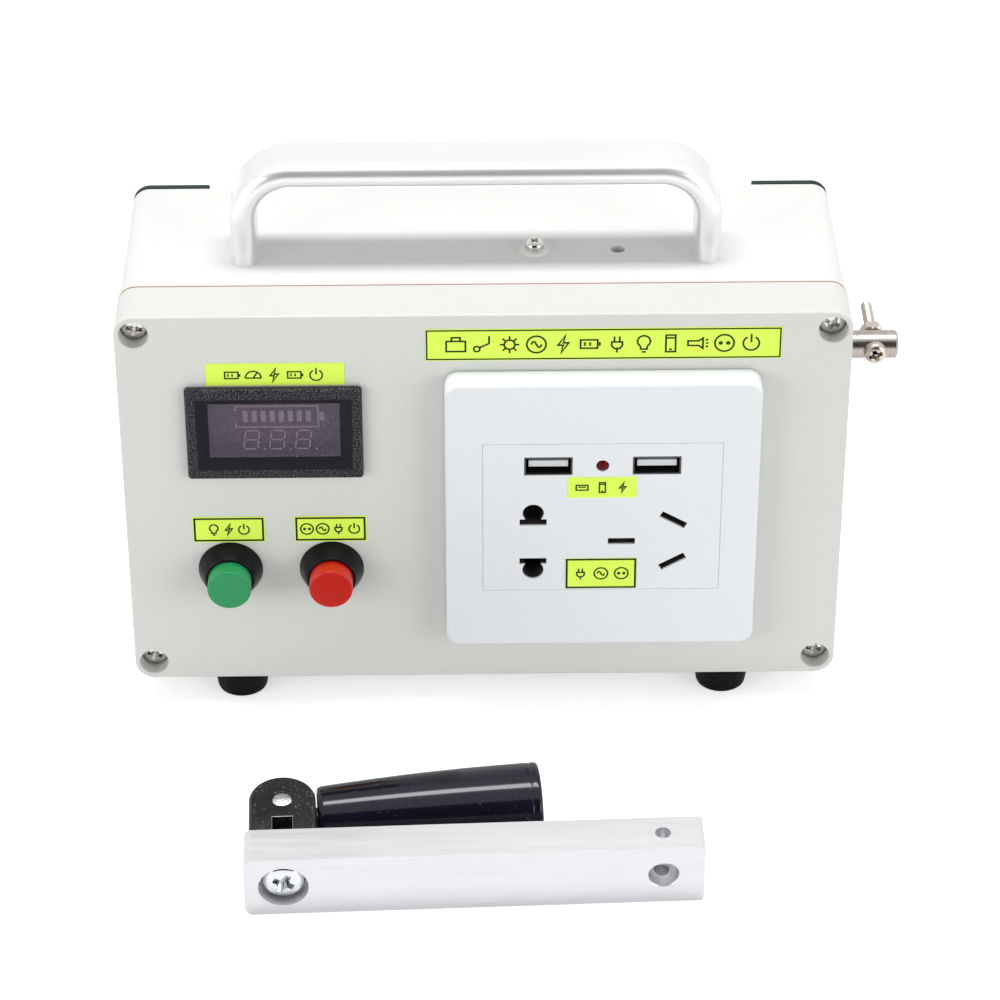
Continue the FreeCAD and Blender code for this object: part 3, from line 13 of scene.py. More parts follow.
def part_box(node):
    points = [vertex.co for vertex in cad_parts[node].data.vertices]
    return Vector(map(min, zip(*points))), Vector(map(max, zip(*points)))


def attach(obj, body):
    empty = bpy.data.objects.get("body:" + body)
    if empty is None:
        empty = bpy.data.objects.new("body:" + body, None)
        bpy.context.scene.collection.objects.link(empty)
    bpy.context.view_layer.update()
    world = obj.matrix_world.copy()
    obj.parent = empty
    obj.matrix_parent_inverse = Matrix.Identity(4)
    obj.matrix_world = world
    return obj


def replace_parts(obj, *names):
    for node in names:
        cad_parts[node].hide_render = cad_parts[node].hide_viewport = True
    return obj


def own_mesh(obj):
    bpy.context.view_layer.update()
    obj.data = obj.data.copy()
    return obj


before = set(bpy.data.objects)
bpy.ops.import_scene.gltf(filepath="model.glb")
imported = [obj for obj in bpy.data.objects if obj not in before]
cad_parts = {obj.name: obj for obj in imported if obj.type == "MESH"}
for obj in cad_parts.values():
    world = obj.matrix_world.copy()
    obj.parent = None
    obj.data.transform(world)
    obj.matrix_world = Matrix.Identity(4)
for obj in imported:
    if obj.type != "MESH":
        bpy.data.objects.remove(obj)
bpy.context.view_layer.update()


# ---------------------------------------------------------------- front lid
# The shallow front half of the box, injection moulded in pale grey-green ABS with a fine satin grain. It carries
# the whole panel and is pulled onto the rear case by a screw in each corner.

MM = 0.001
lid_low, lid_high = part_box("front_lid")
CASE = Matrix.Translation(((lid_low.x + lid_high.x) / 2, lid_low.y, lid_low.z))


class Value:
    """A number, colour or shape on its way through a node tree. Sums on it add the nodes that work them out."""

    def __init__(self, maker, socket):
        self.maker, self.socket = maker, socket

    def sum(self, operation, *others):
        """One Math node on this number and others."""
        return self.maker.node("ShaderNodeMath", {"operation": operation}, dict(enumerate((self, *others))))

    def other(self, name):
        """Another output of the node that this one comes from."""
        return Value(self.maker, self.socket.node.outputs[name])

    def __add__(self, other):
        return self.sum("ADD", other)

    def __sub__(self, other):
        return self.sum("SUBTRACT", other)

    def __rsub__(self, other):
        return self.maker.node("ShaderNodeMath", {"operation": "SUBTRACT"}, {0: other, 1: self})

    def __mul__(self, other):
        return self.sum("MULTIPLY", other)

    def __pow__(self, other):
        return self.sum("POWER", other)

    __radd__ = __add__
    __rmul__ = __mul__

    def above(self, edge, soft):
        """0 below the edge and 1 above it, with a soft step between."""
        return self.maker.node("ShaderNodeMapRange", {"interpolation_type": "SMOOTHSTEP"},
                               {"Value": self, "From Min": edge - soft, "From Max": edge + soft})


class Nodes:
    """A node tree that is built up node by node."""

    def node(self, kind, settings=None, inputs=None, output=0):
        """Adds one node: first its settings, then the values or links of its sockets."""
        made = self.tree.nodes.new(kind)
        for key, value in (settings or {}).items():
            setattr(made, key, value)
        for key, value in (inputs or {}).items():
            for part in value if isinstance(value, list) else [value]:
                if isinstance(part, Value):
                    self.tree.links.new(part.socket, made.inputs[key])
                else:
                    made.inputs[key].default_value = part
        return Value(self, made.outputs[output])


class Finish(Nodes):
    """One finish on a Principled shader."""

    def __init__(self, name, **fixed):
        self.material = bpy.data.materials.new(name)
        self.material.use_nodes = True
        self.tree = self.material.node_tree
        self.shader = self.tree.nodes["Principled BSDF"]
        self.place = None
        for socket, value in fixed.items():
            self.shader.inputs[socket.replace("_", " ")].default_value = value

    def spot(self, stretch=(1, 1, 1), turn=(0, 0, 0)):
        """The place on the piece, in metres, stretched or turned for a grain."""
        if self.place is None:
            self.place = self.node("ShaderNodeTexCoord", output="Object")
        return self.node("ShaderNodeMapping", {"vector_type": "POINT"},
                         {"Vector": self.place, "Scale": stretch, "Rotation": turn}, "Vector")

    def noise(self, per_metre, detail=2.0, stretch=(1, 1, 1), turn=(0, 0, 0)):
        """A cloudy pattern from 0 to 1, with so many grains to the metre."""
        return self.node("ShaderNodeTexNoise", None, {"Vector": self.spot(stretch, turn), "Scale": per_metre,
                                                      "Detail": detail}, "Fac")

    def blend(self, first, second, share):
        """A colour between two, by a share that changes over the surface."""
        first = first if isinstance(first, Value) else (*first, 1)
        second = second if isinstance(second, Value) else (*second, 1)
        return self.node("ShaderNodeMix", {"data_type": "RGBA"}, {0: share, 6: first, 7: second}, 2)

    def feed(self, socket, value):
        """Leads a value or colour to the shader."""
        self.tree.links.new(value.socket, self.shader.inputs[socket])

    def bump(self, height, depth):
        """Raises the surface by a pattern, so many metres at most."""
        self.feed("Normal", self.node("ShaderNodeBump", None, {"Height": height, "Distance": depth}, "Normal"))


def tone(red, green, blue):
    """A colour as a screen shows it, 0 to 255, as the light that it stands for."""
    parts = [part / 255 for part in (red, green, blue)]
    return tuple(part / 12.92 if part <= 0.04045 else ((part + 0.055) / 1.055) ** 2.4 for part in parts)


def shade(colour, share):
    """A colour made lighter or darker."""
    return tuple(min(1, part * share) for part in colour)


def moulded(name, colour, rough, grain=2600, depth=0.02 * MM, cloud=0.03, rub=0.1, **fixed):
    """Moulded plastic: a fine even grain from the mould, a faint cloud in its colour and small rubs in its gloss."""
    made = Finish(name, **fixed)
    cloudy = made.noise(14, 3)
    speck = made.noise(1100, 2)
    made.feed("Base Color", made.blend(shade(colour, 1 - cloud), shade(colour, 1 + cloud),
                                       cloudy * 0.7 + speck * 0.3))
    rubs = made.noise(90, 6, (1, 1, 0.35))
    made.feed("Roughness", rubs * rub + speck * (rub / 2) + (rough - rub * 0.75))
    made.bump(made.noise(grain, 3) * 0.8 + rubs * 0.2, depth)
    return made


def dress(made, *names):
    """Gives solids their finish."""
    for name in names:
        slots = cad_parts[name].data.materials
        slots.clear()
        slots.append(made.material)


dress(moulded("lid_abs", tone(211, 212, 208), 0.44), "front_lid")


# ---------------------------------------------------------------- rear case
# The deep rear half, moulded in near-white ABS with its standoffs and screw posts, and the drilled holes for the
# handle, the lamp and the drive.

dress(moulded("case_abs", tone(221, 220, 218), 0.46), "rear_case")


# ---------------------------------------------------------------- lid seal
# A flat tan rubber strip in the joint between the two halves. The lid's screws squeeze it until it stands almost level
# with the walls beside it.

SEAL_BULGE = 0.26


def merged(name):
    """A copy of a solid's mesh with its loose triangles joined."""
    shape = bmesh.new()
    shape.from_mesh(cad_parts[name].data)
    bmesh.ops.remove_doubles(shape, verts=shape.verts, dist=0.002 * MM)
    return shape


def placed(name, data):
    """A new object in the scene."""
    made = bpy.data.objects.new(name, data)
    bpy.context.scene.collection.objects.link(made)
    return made


def smoothed(mesh, sharp):
    """Smooth faces, but for the edges that turn by more than so many degrees."""
    mesh.shade_smooth()
    mesh.set_sharp_from_angle(angle=math.radians(sharp))


def finished(name, shape, finish, body, sharp=35):
    """A mesh worked out point by point, as a piece with its faces outwards."""
    bmesh.ops.recalc_face_normals(shape, faces=shape.faces)
    mesh = bpy.data.meshes.new(name)
    shape.to_mesh(mesh)
    shape.free()
    smoothed(mesh, sharp)
    mesh.materials.append(finish.material)
    made = placed(name, mesh)
    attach(made, body)
    return made


squeezed = merged("lid_gasket")
squeezed.normal_update()
seal_low, seal_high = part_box("lid_gasket")
for vertex in squeezed.verts:
    outward = sum((side.normal for side in vertex.link_faces if abs(side.normal.y) < 0.5), Vector()).normalized()
    if outward.dot(vertex.co - (seal_low + seal_high) / 2) > 0:
        vertex.co += outward * SEAL_BULGE * MM
rubber = moulded("seal_rubber", tone(158, 120, 100), 0.7, 4000, Specular_IOR_Level=0.1)
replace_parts(finished("lid_seal_squeezed", squeezed, rubber, "generator_box"), "lid_gasket")


# ---------------------------------------------------------------- screws
# Pan-head cross-recess machine screws, bright nickel plated: four in the lid's corners, one with a washer on the top,
# four round the drive shaft, two under the handle and two behind the socket plate. Each stops at its own turn.

TO_FRONT = Matrix.Rotation(math.pi / 2, 4, "X")
TO_RIGHT = Matrix.Rotation(math.pi / 2, 4, "Y")
TO_FLOOR = Matrix.Rotation(math.pi, 4, "X")
UPRIGHT = Matrix.Identity(4)
SHAFT_BACK, SHAFT_UP = 39, 86.3
PLATE_ACROSS, PLATE_UP = 32.4, 59.2


def metal(name, colour, rough, lines=(1, 1, 1), per_metre=900, depth=0.004 * MM, spread=0.12, **fixed):
    """Bare or plated metal: fine tool lines along one way, with duller and brighter patches."""
    made = Finish(name, **{"Metallic": 1.0, **fixed})
    cut = made.noise(per_metre, 4, lines)
    patch = made.noise(60, 4)
    made.feed("Base Color", made.blend(shade(colour, 0.86), shade(colour, 1.06), cut * 0.6 + patch * 0.4))
    made.feed("Roughness", cut * spread + patch * (spread * 0.6) + (rough - spread * 0.8))
    made.bump(cut, depth)
    return made


def settled(maker, name):
    """An object's finished shape as a plain mesh."""
    view = bpy.context.evaluated_depsgraph_get()
    shape = bpy.data.meshes.new_from_object(maker.evaluated_get(view))
    bpy.data.objects.remove(maker)
    shape.name = name
    return placed(name, shape)


class Growth(Nodes):
    """A geometry tree with named inputs, which grows like pieces on a set of points."""

    def __init__(self, name, **kinds):
        self.tree = bpy.data.node_groups.new(name, "GeometryNodeTree")
        self.tree.is_modifier = True
        plan = self.tree.interface
        plan.new_socket("Points", in_out="INPUT", socket_type="NodeSocketGeometry")
        self.keys = {}
        for label, kind in {**kinds, "Material": "Material"}.items():
            made = plan.new_socket(label.replace("_", " "), in_out="INPUT", socket_type="NodeSocket" + kind)
            self.keys[label] = made.identifier
        plan.new_socket("Shape", in_out="OUTPUT", socket_type="NodeSocketGeometry")
        self.given = self.tree.nodes.new("NodeGroupInput")
        self.last = self.tree.nodes.new("NodeGroupOutput")

    def taken(self, label):
        """One of the tree's named inputs."""
        return Value(self, self.given.outputs[label])

    def close(self, shape):
        """Ends the tree with its instances made real and their material set."""
        real = self.node("GeometryNodeRealizeInstances", None, {"Geometry": shape})
        done = self.node("GeometryNodeSetMaterial", None, {"Geometry": real, "Material": self.taken("Material")})
        self.tree.links.new(done.socket, self.last.inputs[0])

    def grow(self, name, points, finish, **sizes):
        """The pieces on these points as one plain mesh."""
        mesh = bpy.data.meshes.new(name + "_points")
        mesh.from_pydata([tuple(point) for point in points], [], [])
        maker = placed(name + "_maker", mesh)
        growing = maker.modifiers.new("growth", "NODES")
        growing.node_group = self.tree
        for label, value in {**sizes, "Material": finish.material}.items():
            growing[self.keys[label]] = value
        made = settled(maker, name)
        smoothed(made.data, 35)
        return made


def screw_tree():
    """A head domed like a cushion on a flat seat, its tapered cross recess, and a plain shank under it."""
    tree = Growth("pan_screws", Head_Radius="Float", Head_Height="Float", Shank_Radius="Float",
                  Shank_Length="Float", Recess_Reach="Float", Turn="Vector", Seed="Int")
    radius, height = tree.taken("Head Radius"), tree.taken("Head Height")
    ball = tree.node("GeometryNodeMeshUVSphere", None, {"Segments": 40, "Rings": 24, "Radius": 1.0}, "Mesh")
    across = tree.node("ShaderNodeSeparateXYZ", None, {0: tree.node("GeometryNodeInputPosition")}, "X")
    along, up = across.other("Y"), across.other("Z")
    spread = (across * across + along * along).sum("SQRT").sum("MAXIMUM", 0.0001) ** -0.42 * radius
    domed = tree.node("ShaderNodeCombineXYZ", None, {"X": across * spread, "Y": along * spread,
                                                     "Z": up.sum("MAXIMUM", 0.0) ** 0.6 * height})
    head = tree.node("GeometryNodeSetPosition", None, {"Geometry": ball, "Position": domed})
    reach = tree.taken("Recess Reach") * radius
    wing = tree.node("GeometryNodeMeshCone", None, {"Vertices": 4, "Radius Top": reach * 1.75,
                                                    "Radius Bottom": reach * 0.85, "Depth": height * 1.2}, "Mesh")
    wing = tree.node("GeometryNodeTransform", None, {"Geometry": wing, "Rotation": (0, 0, math.pi / 4)})
    low = tree.node("ShaderNodeCombineXYZ", None, {"Z": height * 0.3})
    wings = [tree.node("GeometryNodeTransform", None, {"Geometry": wing, "Translation": low, "Scale": scale})
             for scale in ((1.0, 0.3, 1.0), (0.3, 1.0, 1.0))]
    core = tree.node("GeometryNodeMeshCone", None, {"Vertices": 12, "Radius Top": reach * 0.75,
                                                    "Radius Bottom": reach * 0.3, "Depth": height * 1.2}, "Mesh")
    deep = tree.node("ShaderNodeCombineXYZ", None, {"Z": height * 0.2})
    core = tree.node("GeometryNodeTransform", None, {"Geometry": core, "Translation": deep})
    head = tree.node("GeometryNodeMeshBoolean", {"operation": "DIFFERENCE", "solver": "EXACT"},
                     {"Mesh 1": head, "Mesh 2": [*wings, core]}, "Mesh")
    length = tree.taken("Shank Length")
    shank = tree.node("GeometryNodeMeshCylinder", None, {"Vertices": 24, "Radius": tree.taken("Shank Radius"),
                                                         "Depth": length + height * 0.15}, "Mesh")
    under = tree.node("ShaderNodeCombineXYZ", None, {"Z": height * 0.075 - length * 0.5})
    shank = tree.node("GeometryNodeTransform", None, {"Geometry": shank, "Translation": under})
    whole = tree.node("GeometryNodeJoinGeometry", None, {"Geometry": [head, shank]})
    turn = tree.node("FunctionNodeEulerToRotation", None, {0: tree.taken("Turn")})
    stood = tree.node("GeometryNodeInstanceOnPoints", None, {"Points": tree.taken("Points"), "Instance": whole,
                                                             "Rotation": turn})
    clock = tree.node("FunctionNodeRandomValue", {"data_type": "FLOAT"}, {2: 0.0, 3: math.pi / 2,
                                                                          8: tree.taken("Seed")}, 1)
    clock = tree.node("ShaderNodeCombineXYZ", None, {"Z": clock})
    tree.close(tree.node("GeometryNodeRotateInstances", None, {"Instances": stood, "Rotation": clock,
                                                               "Local Space": True}))
    return tree


pan_screws = screw_tree()
nickel = metal("nickel_plate", tone(222, 220, 216), 0.2)


def fasten(name, body, spots, head, shank, seed, turn=TO_FRONT, place=CASE, reach=0.5, finish=nickel):
    """A set of like screws in place of their solids: head is radius and height, and shank is radius and length."""
    points = [place @ (Vector(spot) * MM) for spot in spots]
    made = pan_screws.grow(name + "_cut", points, finish, Head_Radius=head[0] * MM, Head_Height=head[1] * MM,
                           Shank_Radius=shank[0] * MM, Shank_Length=shank[1] * MM, Recess_Reach=reach,
                           Turn=tuple((place @ turn).to_euler()), Seed=seed)
    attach(made, body)
    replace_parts(made, name)


def arc(middle, radius, start=0, end=360, steps=20):
    """Points round a circle or a part of it, from one turn to another in degrees."""
    turns = [math.radians(start + (end - start) * step / steps) for step in range(steps + (end - start < 360))]
    return [(middle[0] + radius * math.cos(turn), middle[1] + radius * math.sin(turn)) for turn in turns]


fasten("lid_screws", "generator_box", [(side * 94.6, 6, 60 + end * 54.35) for end in (1, -1) for side in (-1, 1)],
       (3.7, 2.4), (1.75, 16), 3, reach=0.62)
fasten("top_screw", "generator_box", [(14.5, 36.2, 120.3)], (2.6, 2.2), (1.5, 8), 5, UPRIGHT)
fasten("gearbox_screws", "generator_box", [(99.5, *spot) for spot in arc((SHAFT_BACK, SHAFT_UP), 15.5, 45, 405, 4)],
       (2.8, 2.0), (1.5, 8), 7, TO_RIGHT)
fasten("handle_screws", "generator_box", [(-1.75 + side * 64, 36.5, 117) for side in (-1, 1)], (3.6, 2.6), (2, 14), 9,
       TO_FLOOR)
fasten("socket_screws", "generator_box", [(PLATE_ACROSS + side * 30.15, -2, PLATE_UP) for side in (-1, 1)],
       (3, 1.8), (1.75, 9), 11)


# ---------------------------------------------------------------- top washer
# A small pale nylon washer under the single screw on the top, pressed from sheet. It spreads the screw's pull over
# the wall.

dress(moulded("washer_nylon", tone(226, 226, 223), 0.35), "top_washer")


# ---------------------------------------------------------------- feet and corner pads
# Black rubber feet pushed into the bottom by their stems, and thin dark rubber pads on the back's corners. Their
# moulded edges are a little soft.

def softened(name, body, width, finish, steps=2, chosen=None, edges=None):
    """A solid's shape with its hard edges rounded over, in its place: chosen gives each edge's share of the width."""
    shape = merged(name)
    bmesh.ops.dissolve_limit(shape, angle_limit=math.radians(0.6), verts=shape.verts, edges=shape.edges)
    weight = shape.edges.layers.float.new("bevel_weight_edge")
    for face in shape.faces:
        face.smooth = True
    for edge in shape.edges:
        if len(edge.link_faces) == 2 and edge.calc_face_angle() > math.radians(30):
            share = chosen((edge.verts[0].co + edge.verts[1].co) / 2) if chosen else 1
            edge[weight], edge.smooth = float(share), bool(share)
    mesh = bpy.data.meshes.new(name + "_hard")
    shape.to_mesh(mesh)
    shape.free()
    mesh.materials.append(finish.material)
    maker = placed(name + "_hard", mesh)
    rounding = maker.modifiers.new("rounded", "BEVEL")
    rounding.limit_method, rounding.width, rounding.segments = "WEIGHT", width * MM, steps
    if edges:
        mesh.materials.append(edges.material)
        rounding.material = 1
    maker.modifiers.new("flat_faces", "WEIGHTED_NORMAL").keep_sharp = True
    made = settled(maker, name + "_soft")
    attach(made, body)
    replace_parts(made, name)
    return made


softened("rubber_feet", "generator_box", 0.7,
         moulded("foot_rubber", tone(9, 9, 11), 0.55, 1800, 0.04 * MM, Specular_IOR_Level=0.1), 3)
softened("corner_pads", "generator_box", 0.4,
         moulded("pad_rubber", tone(44, 54, 54), 0.6, 1500, 0.05 * MM, Specular_IOR_Level=0.2))


# ---------------------------------------------------------------- carrying handle
# A flat-oval aluminium bar, bent twice, then bead blasted and clear anodised. Two screws from inside the case hold
# its ends.

blasted = Finish("handle_anodised", Metallic=0.72)
grit = blasted.noise(3600, 3)
cloudy = blasted.noise(40, 4)
blasted.feed("Base Color", blasted.blend(tone(222, 223, 225), tone(246, 246, 248), grit * 0.6 + cloudy * 0.4))
blasted.feed("Roughness", grit * 0.14 + cloudy * 0.04 + 0.22)
blasted.bump(grit, 0.012 * MM)
dress(blasted, "carry_handle")


# ---------------------------------------------------------------- battery meter
# A clip-in panel meter. Its black bezel has a coarse spark grain, but the steps round its smoked window are smooth.
# The unlit display shows faintly behind the window: a battery outline with eight bars, and three figures of segments.

METER_ACROSS, METER_UP = -57.5, 83.8
STEPS_WIDE, STEPS_TALL = 21.1, 11.3
spark = Finish("bezel_spark_abs", Specular_IOR_Level=0.16)
coarse = spark.noise(2700, 2)
fine = spark.noise(1300, 3)
# The bright specks mixed into the bezel's colour are painted glints, where light would catch the grain's facets.
glint = coarse.above(0.56, 0.05)
spark.feed("Base Color", spark.blend(spark.blend(tone(16, 16, 20), tone(36, 36, 41), fine), tone(112, 112, 118),
                                     glint * 0.6))
spark.feed("Roughness", fine * 0.2 + 0.42)
spark.bump(coarse * 0.7 + fine * 0.3, 0.05 * MM)
bezel = softened("meter_bezel", "generator_box", 0.12, spark)
smooth_abs = moulded("bezel_smooth_abs", tone(27, 26, 32), 0.36, 1800, 0.006 * MM, 0.05, Specular_IOR_Level=0.12)
bezel.data.materials.append(smooth_abs.material)
for face in bezel.data.polygons:
    spot = (CASE.inverted() @ face.center) / MM
    inside = abs(spot.x - METER_ACROSS) < STEPS_WIDE and abs(spot.z - METER_UP) < STEPS_TALL
    if inside and spot.y < -0.9 and face.normal.y > -0.97 and face.normal.z < 0.4:
        face.material_index = 1

smoked = Finish("window_smoked", Alpha=0.26, Specular_IOR_Level=0.3)
dust = smoked.noise(2600, 2)
smoked.feed("Base Color", smoked.blend(tone(120, 108, 126), tone(168, 154, 174), dust))
smoked.feed("Roughness", smoked.noise(120, 4) * 0.1 + 0.08)
smoked.bump(smoked.noise(700, 2), 0.002 * MM)
dress(smoked, "meter_window")

display = Finish("display_face")
speckle = display.noise(2800, 2)
warm = display.noise(45, 3)
mauve = display.blend(tone(78, 76, 86), tone(98, 80, 96), warm.above(0.5, 0.2))
display.feed("Base Color", display.blend(mauve, tone(124, 118, 130), speckle.above(0.56, 0.1) * 0.7))
display.feed("Roughness", speckle * 0.2 + 0.4)
display.bump(speckle, 0.01 * MM)
dress(display, "meter_display")


def block_tree():
    """A row of like blocks, so many and so far apart, from each point."""
    tree = Growth("block_row", Count="Int", Pitch="Vector", Size="Vector")
    row = tree.node("GeometryNodeMeshLine", {"mode": "OFFSET"}, {"Count": tree.taken("Count"),
                                                                 "Offset": tree.taken("Pitch")}, "Mesh")
    block = tree.node("GeometryNodeMeshCube", None, {"Size": tree.taken("Size")}, "Mesh")
    one = tree.node("GeometryNodeInstanceOnPoints", None, {"Points": row, "Instance": block})
    tree.close(tree.node("GeometryNodeInstanceOnPoints", None, {"Points": tree.taken("Points"), "Instance": one}))
    return tree


def ribbon(shape, line, width, depth, closed=False):
    """A printed line of even width: a thin closed solid along points in the panel, mitred at its corners."""
    line = [Vector(point) for point in line]
    rims = []
    for at, point in enumerate(line):
        before = point - line[at - 1] if closed or at else line[at + 1] - point
        after = line[(at + 1) % len(line)] - point if closed or at < len(line) - 1 else before
        sides = [Vector((-way.y, way.x)).normalized() for way in (before, after)]
        middle = (sides[0] + sides[1]).normalized()
        reach = width / 2 / max(0.4, middle.dot(sides[1]))
        left, right = point + middle * reach, point - middle * reach
        rims.append([shape.verts.new(CASE @ (Vector((side.x, deep, side.y)) * MM))
                     for side, deep in ((left, depth[0]), (right, depth[0]), (right, depth[1]), (left, depth[1]))])
    pairs = list(zip(rims, rims[1:] + rims[:1])) if closed else list(zip(rims, rims[1:]))
    for one, two in pairs:
        for corner in range(4):
            following = (corner + 1) % 4
            shape.faces.new((one[corner], one[following], two[following], two[corner]))
    if not closed:
        shape.faces.new(rims[0])
        shape.faces.new(rims[-1][::-1])


block_row = block_tree()
segment = Finish("display_segment")
speckle = segment.noise(2800, 2)
segment.feed("Base Color", segment.blend(tone(100, 91, 106), tone(124, 115, 130), speckle))
segment.feed("Roughness", speckle * 0.2 + 0.4)
segment.bump(speckle, 0.01 * MM)

MARK, MARK_WIDTH = (-0.07, 0.01), 0.42
marks = bmesh.new()
ribbon(marks, [(-68.0, 90.2), (-68.0, 91.6), (-45.4, 91.6), (-45.4, 84.9), (-68.0, 84.9), (-68.0, 86.3)], MARK_WIDTH,
       MARK)
ribbon(marks, [(-44.4, 86.9), (-44.4, 89.7)], 1.3, MARK)
# A figure leans to the right. Its seven strokes stop short of one another, and a dot follows it.
STROKES = (((0.85, 6.1), (3.85, 6.1)), ((0.5, 3.15), (3.5, 3.15)), ((0.15, 0.2), (3.15, 0.2)),
           ((0.42, 5.75), (0.14, 3.5)), ((4.28, 5.75), (4.0, 3.5)), ((0.06, 2.8), (-0.22, 0.55)),
           ((3.92, 2.8), (3.64, 0.55)))
for left in (-65.9, -58.8, -51.7):
    for stroke in STROKES:
        ribbon(marks, [(left + across, 77.65 + up) for across, up in stroke], MARK_WIDTH, MARK)
    ribbon(marks, [(left + 5.3, 77.7), (left + 5.9, 77.7)], 0.55, MARK)
finished("display_figures", marks, segment, "generator_box")
bars = block_row.grow("display_bars", [CASE @ (Vector((-65.4, -0.03, 88.4)) * MM)], segment, Count=8,
                      Pitch=(2.47 * MM, 0, 0), Size=(1.35 * MM, 0.08 * MM, 3.5 * MM))
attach(bars, "generator_box")


# ---------------------------------------------------------------- push switches
# Two panel push buttons: a black nylon collar and barrel held by a nut behind the lid, and a coloured cap that slides
# in it against a steel spring.

collar = moulded("switch_nylon", tone(15, 14, 18), 0.3, 1800, 0.01 * MM, 0.12, Specular_IOR_Level=0.16)
for colour in ("green", "red"):
    softened(f"{colour}_switch_body", "generator_box", 0.3, collar, 3)
dress(collar, "green_switch_nut", "red_switch_nut")
dress(moulded("green_cap", tone(27, 143, 85), 0.3, 1400, 0.01 * MM, 0.05, Specular_IOR_Level=0.4), "green_button")
dress(moulded("red_cap", tone(192, 27, 13), 0.3, 1400, 0.01 * MM, 0.05, Specular_IOR_Level=0.4), "red_button")
wire = metal("spring_wire", tone(190, 190, 192), 0.3)
for colour, press in (("green", "lamp_button_press"), ("red", "outlet_button_press")):
    spring = finished(f"{colour}_spring_coil", merged(f"{colour}_button_spring"), wire, "generator_box", 50)
    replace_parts(spring, f"{colour}_button_spring")
    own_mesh(spring)


# ---------------------------------------------------------------- socket plate
# A glossy 86 mm wall plate snapped over the outlet housing, with its wells and sheet brass contacts. The mould leaves
# a small round on the mouth of every opening.

PLATE_FRONT = -7.7
MOUTHS_WIDE, MOUTHS_TALL = 30, 23


def at_mouth(spot):
    """True for the edges round the openings in the plate's face."""
    place = (CASE.inverted() @ spot) / MM
    level = abs(place.y - PLATE_FRONT) < 0.02
    return level and abs(place.x - PLATE_ACROSS) < MOUTHS_WIDE and abs(place.z - PLATE_UP) < MOUTHS_TALL


gloss = moulded("plate_gloss", tone(226, 229, 232), 0.3, 700, 0.003 * MM, 0.008, 0.03, Specular_IOR_Level=0.35)
softened("socket_plate", "generator_box", 0.28, gloss, chosen=at_mouth)
dress(moulded("housing_black", tone(62, 57, 57), 0.4, 1800, 0.01 * MM, 0.12, Specular_IOR_Level=0.3), "socket_housing")
dress(metal("contact_brass", tone(214, 176, 98), 0.3), "socket_contacts")
softened("usb_ports", "generator_box", 0.1, metal("port_tin", tone(98, 93, 93), 0.4, per_metre=1400))
dress(moulded("port_tongue", tone(204, 209, 212), 0.3, 1800, 0.008 * MM), "usb_tongues")
gilt = metal("contact_gilt", tone(226, 190, 110), 0.25)
tongue_low, tongue_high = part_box("usb_tongues")
strips = block_row.grow("port_contacts",
                        [Vector((side, tongue_low.y + 4.4 * MM, tongue_low.z - 0.02 * MM))
                         for side in (tongue_low.x + 1.9 * MM, tongue_high.x - 8.9 * MM)],
                        gilt, Count=4, Pitch=(2.333 * MM, 0, 0), Size=(1.0 * MM, 7.6 * MM, 0.12 * MM))
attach(strips, "generator_box")
board = moulded("solder_resist", tone(24, 92, 52), 0.3, 1800, 0.02 * MM, 0.15)
dress(board, "usb_board", "inverter_board")


# ---------------------------------------------------------------- charge lamp
# A three-millimetre indicator lamp of clear dark-red epoxy, pushed through the plate from behind, with its round
# front and the small flange that stops it.

def moved(*spot):
    """A shift by so many millimetres."""
    return Matrix.Translation(Vector(spot) * MM)


def turned(shape, profile, place, steps):
    """A shape turned about an upright axis: its profile goes round as radius and height, and may change with angle."""
    rings = []
    for step in range(steps):
        angle = 2 * math.pi * step / steps
        line = profile(angle) if callable(profile) else profile
        rings.append([(radius * math.cos(angle), radius * math.sin(angle), height, radius)
                      for radius, height in line])
    poles = {}
    points = []
    for ring in rings:
        row = []
        for at, (across, along, height, radius) in enumerate(ring):
            if radius < 1e-6:
                if at not in poles:
                    poles[at] = shape.verts.new(place @ (Vector((0, 0, height)) * MM))
                row.append(poles[at])
            else:
                row.append(shape.verts.new(place @ (Vector((across, along, height)) * MM)))
        points.append(row)
    for one, two in zip(points, points[1:] + points[:1]):
        for at in range(len(one)):
            following = (at + 1) % len(one)
            corners = []
            for vertex in (one[at], one[following], two[following], two[at]):
                if vertex not in corners:
                    corners.append(vertex)
            if len(corners) > 2:
                shape.faces.new(corners)


epoxy = moulded("lamp_red_epoxy", tone(92, 2, 7), 0.2, 900, 0.002 * MM, 0.12, Specular_IOR_Level=0.14)
led = bmesh.new()
dome = [(1.35 * math.sin(math.radians(10 * step)), 0.65 * math.cos(math.radians(10 * step)) - 0.35)
        for step in range(10)]
turned(led, [*dome, (1.62, -0.37), (1.74, -0.5), (1.74, -9.0), (0, -9.0)],
       CASE @ moved(PLATE_ACROSS, PLATE_FRONT, 76.2) @ TO_FRONT, 48)
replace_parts(finished("charge_lamp", led, epoxy, "generator_box"), "charge_led")


# ---------------------------------------------------------------- labels
# Six stickers of yellow-green film, printed in dark olive: a border round four of them, and plain line signs for what
# each one stands by.

dress(moulded("label_film", tone(219, 252, 84), 0.5, 3000, 0.003 * MM, 0.02), "panel_labels")
ink = moulded("label_ink", tone(22, 32, 10), 0.5, 3000, 0.003 * MM, 0.15, Specular_IOR_Level=0.2)
pale_ink = moulded("label_pale_ink", tone(36, 50, 12), 0.5, 3000, 0.003 * MM, 0.15, Specular_IOR_Level=0.2)

